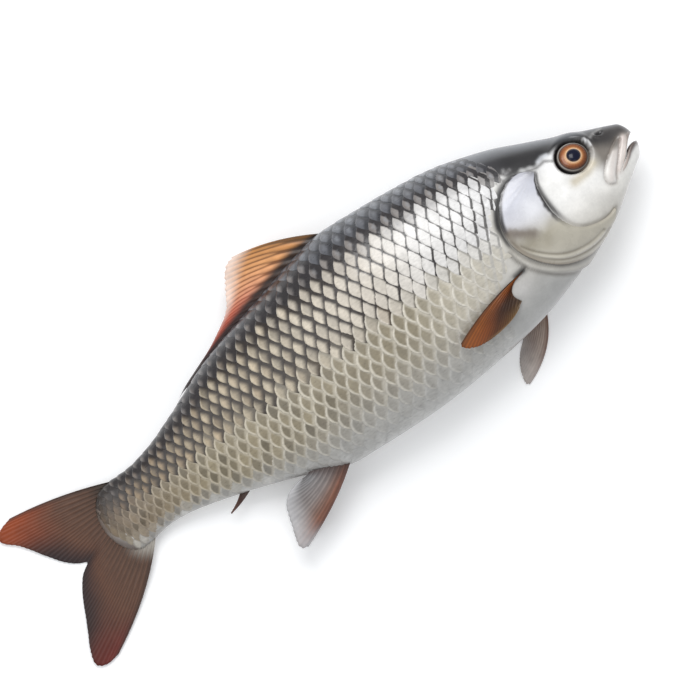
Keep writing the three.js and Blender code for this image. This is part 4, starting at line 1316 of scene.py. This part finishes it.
# ---- The pectoral fins ---------------------------------------------------------------------
# A pair behind the gill covers. The upper one lies back along the flank, orange brown with a dark
# heart, and the lower one is spread on the table under the throat.
def pectoral_tones(s, y, u, v, ridge):
    """Orange brown rays, a dark heart near the root, and a near-black front ray."""
    tone = ramp(u, (0, 84, 48, 20), (0.1, 146, 80, 28), (0.28, 134, 70, 26), (0.5, 84, 46, 22),
                (0.72, 96, 64, 34), (0.9, 120, 92, 58), (1, 138, 114, 84))
    tone = tone * (0.7 + 0.42 * ridge)[..., None]
    heart = np.exp(-((np.maximum(s - 93, 0) / 13) ** 2 + ((y + 29) / 4.4) ** 2))
    tone = mixed(tone, 0.85 * heart, (48, 27, 16))
    tone = mixed(tone, 0.9 * (1 - step(0, 0.07, u)) * (1 - step(0.2, 0.75, v)), (24, 17, 14))
    return mixed(tone, 0.5 * step(0.9, 1, v) * step(0.3, 0.6, u), (158, 128, 92))


def pectoral_height(s, y, u, v):
    """Just over the upper flank, rising off it towards the tip."""
    flank_z = side_z(s, np.maximum(y, -38), 1)
    return flank_z + 0.6 + 1.1 * step(0, 0.6, v) + 3.2 * v**2 * (1 - 0.8 * u**2)


def splayed_tones(s, y, u, v, ridge):
    """Brown at the root, grey brown on the rays and paler towards the edge."""
    tone = ramp(u, (0, 126, 98, 86), (0.12, 176, 158, 146), (0.3, 156, 138, 128),
                (0.6, 146, 130, 122), (1, 96, 84, 78))
    tone = tone * (0.76 + 0.36 * ridge)[..., None]
    tone = mixed(tone, 0.6 * (1 - step(0.3, 0.6, v)), (112, 74, 52))
    return mixed(tone, 0.7 * step(0.6, 1, v), (184, 178, 174))


def splayed_height(s, y, u, v):
    """From under the lower flank quickly down to the table, with low waves at the edge."""
    flank_z = np.maximum(side_z(s, np.maximum(y, -40), -1), 0)
    down = step(0, 0.25, v)
    return (flank_z - 0.4) * (1 - down) + 0.6 * down + 0.5 * np.sin(u * 8) * v**2


fin("pectoral_fan_right", [(79, -19.9), (85.5, -21.2), (89.6, -24), (90.4, -27.4), (88.4, -31)],
    [(101, -21), (102, -26), (100, -31.4), (92, -33.2)],
    [(123, -30.4), (124, -31.6), (121.6, -34.6), (116, -36.8), (108, -37.2), (99, -36),
     (94, -34.4), (90.6, -32.6)],
    pectoral_height, 10, (1.8, 0.5), pectoral_tones, "pectoral_fin_right", fray=0.012)
fin("pectoral_fan_left", [(75.5, -21), (78, -20), (81.5, -19.4)],
    [(77.4, -55.6), (82, -48), (88, -42), (92.5, -34)],
    [(107, -65.6), (108.6, -64.6), (107, -58), (102.8, -51.4), (98, -47.4), (93, -44)],
    splayed_height, 9, (1.4, 0.5), splayed_tones, "pectoral_fin_left", fray=0.012)
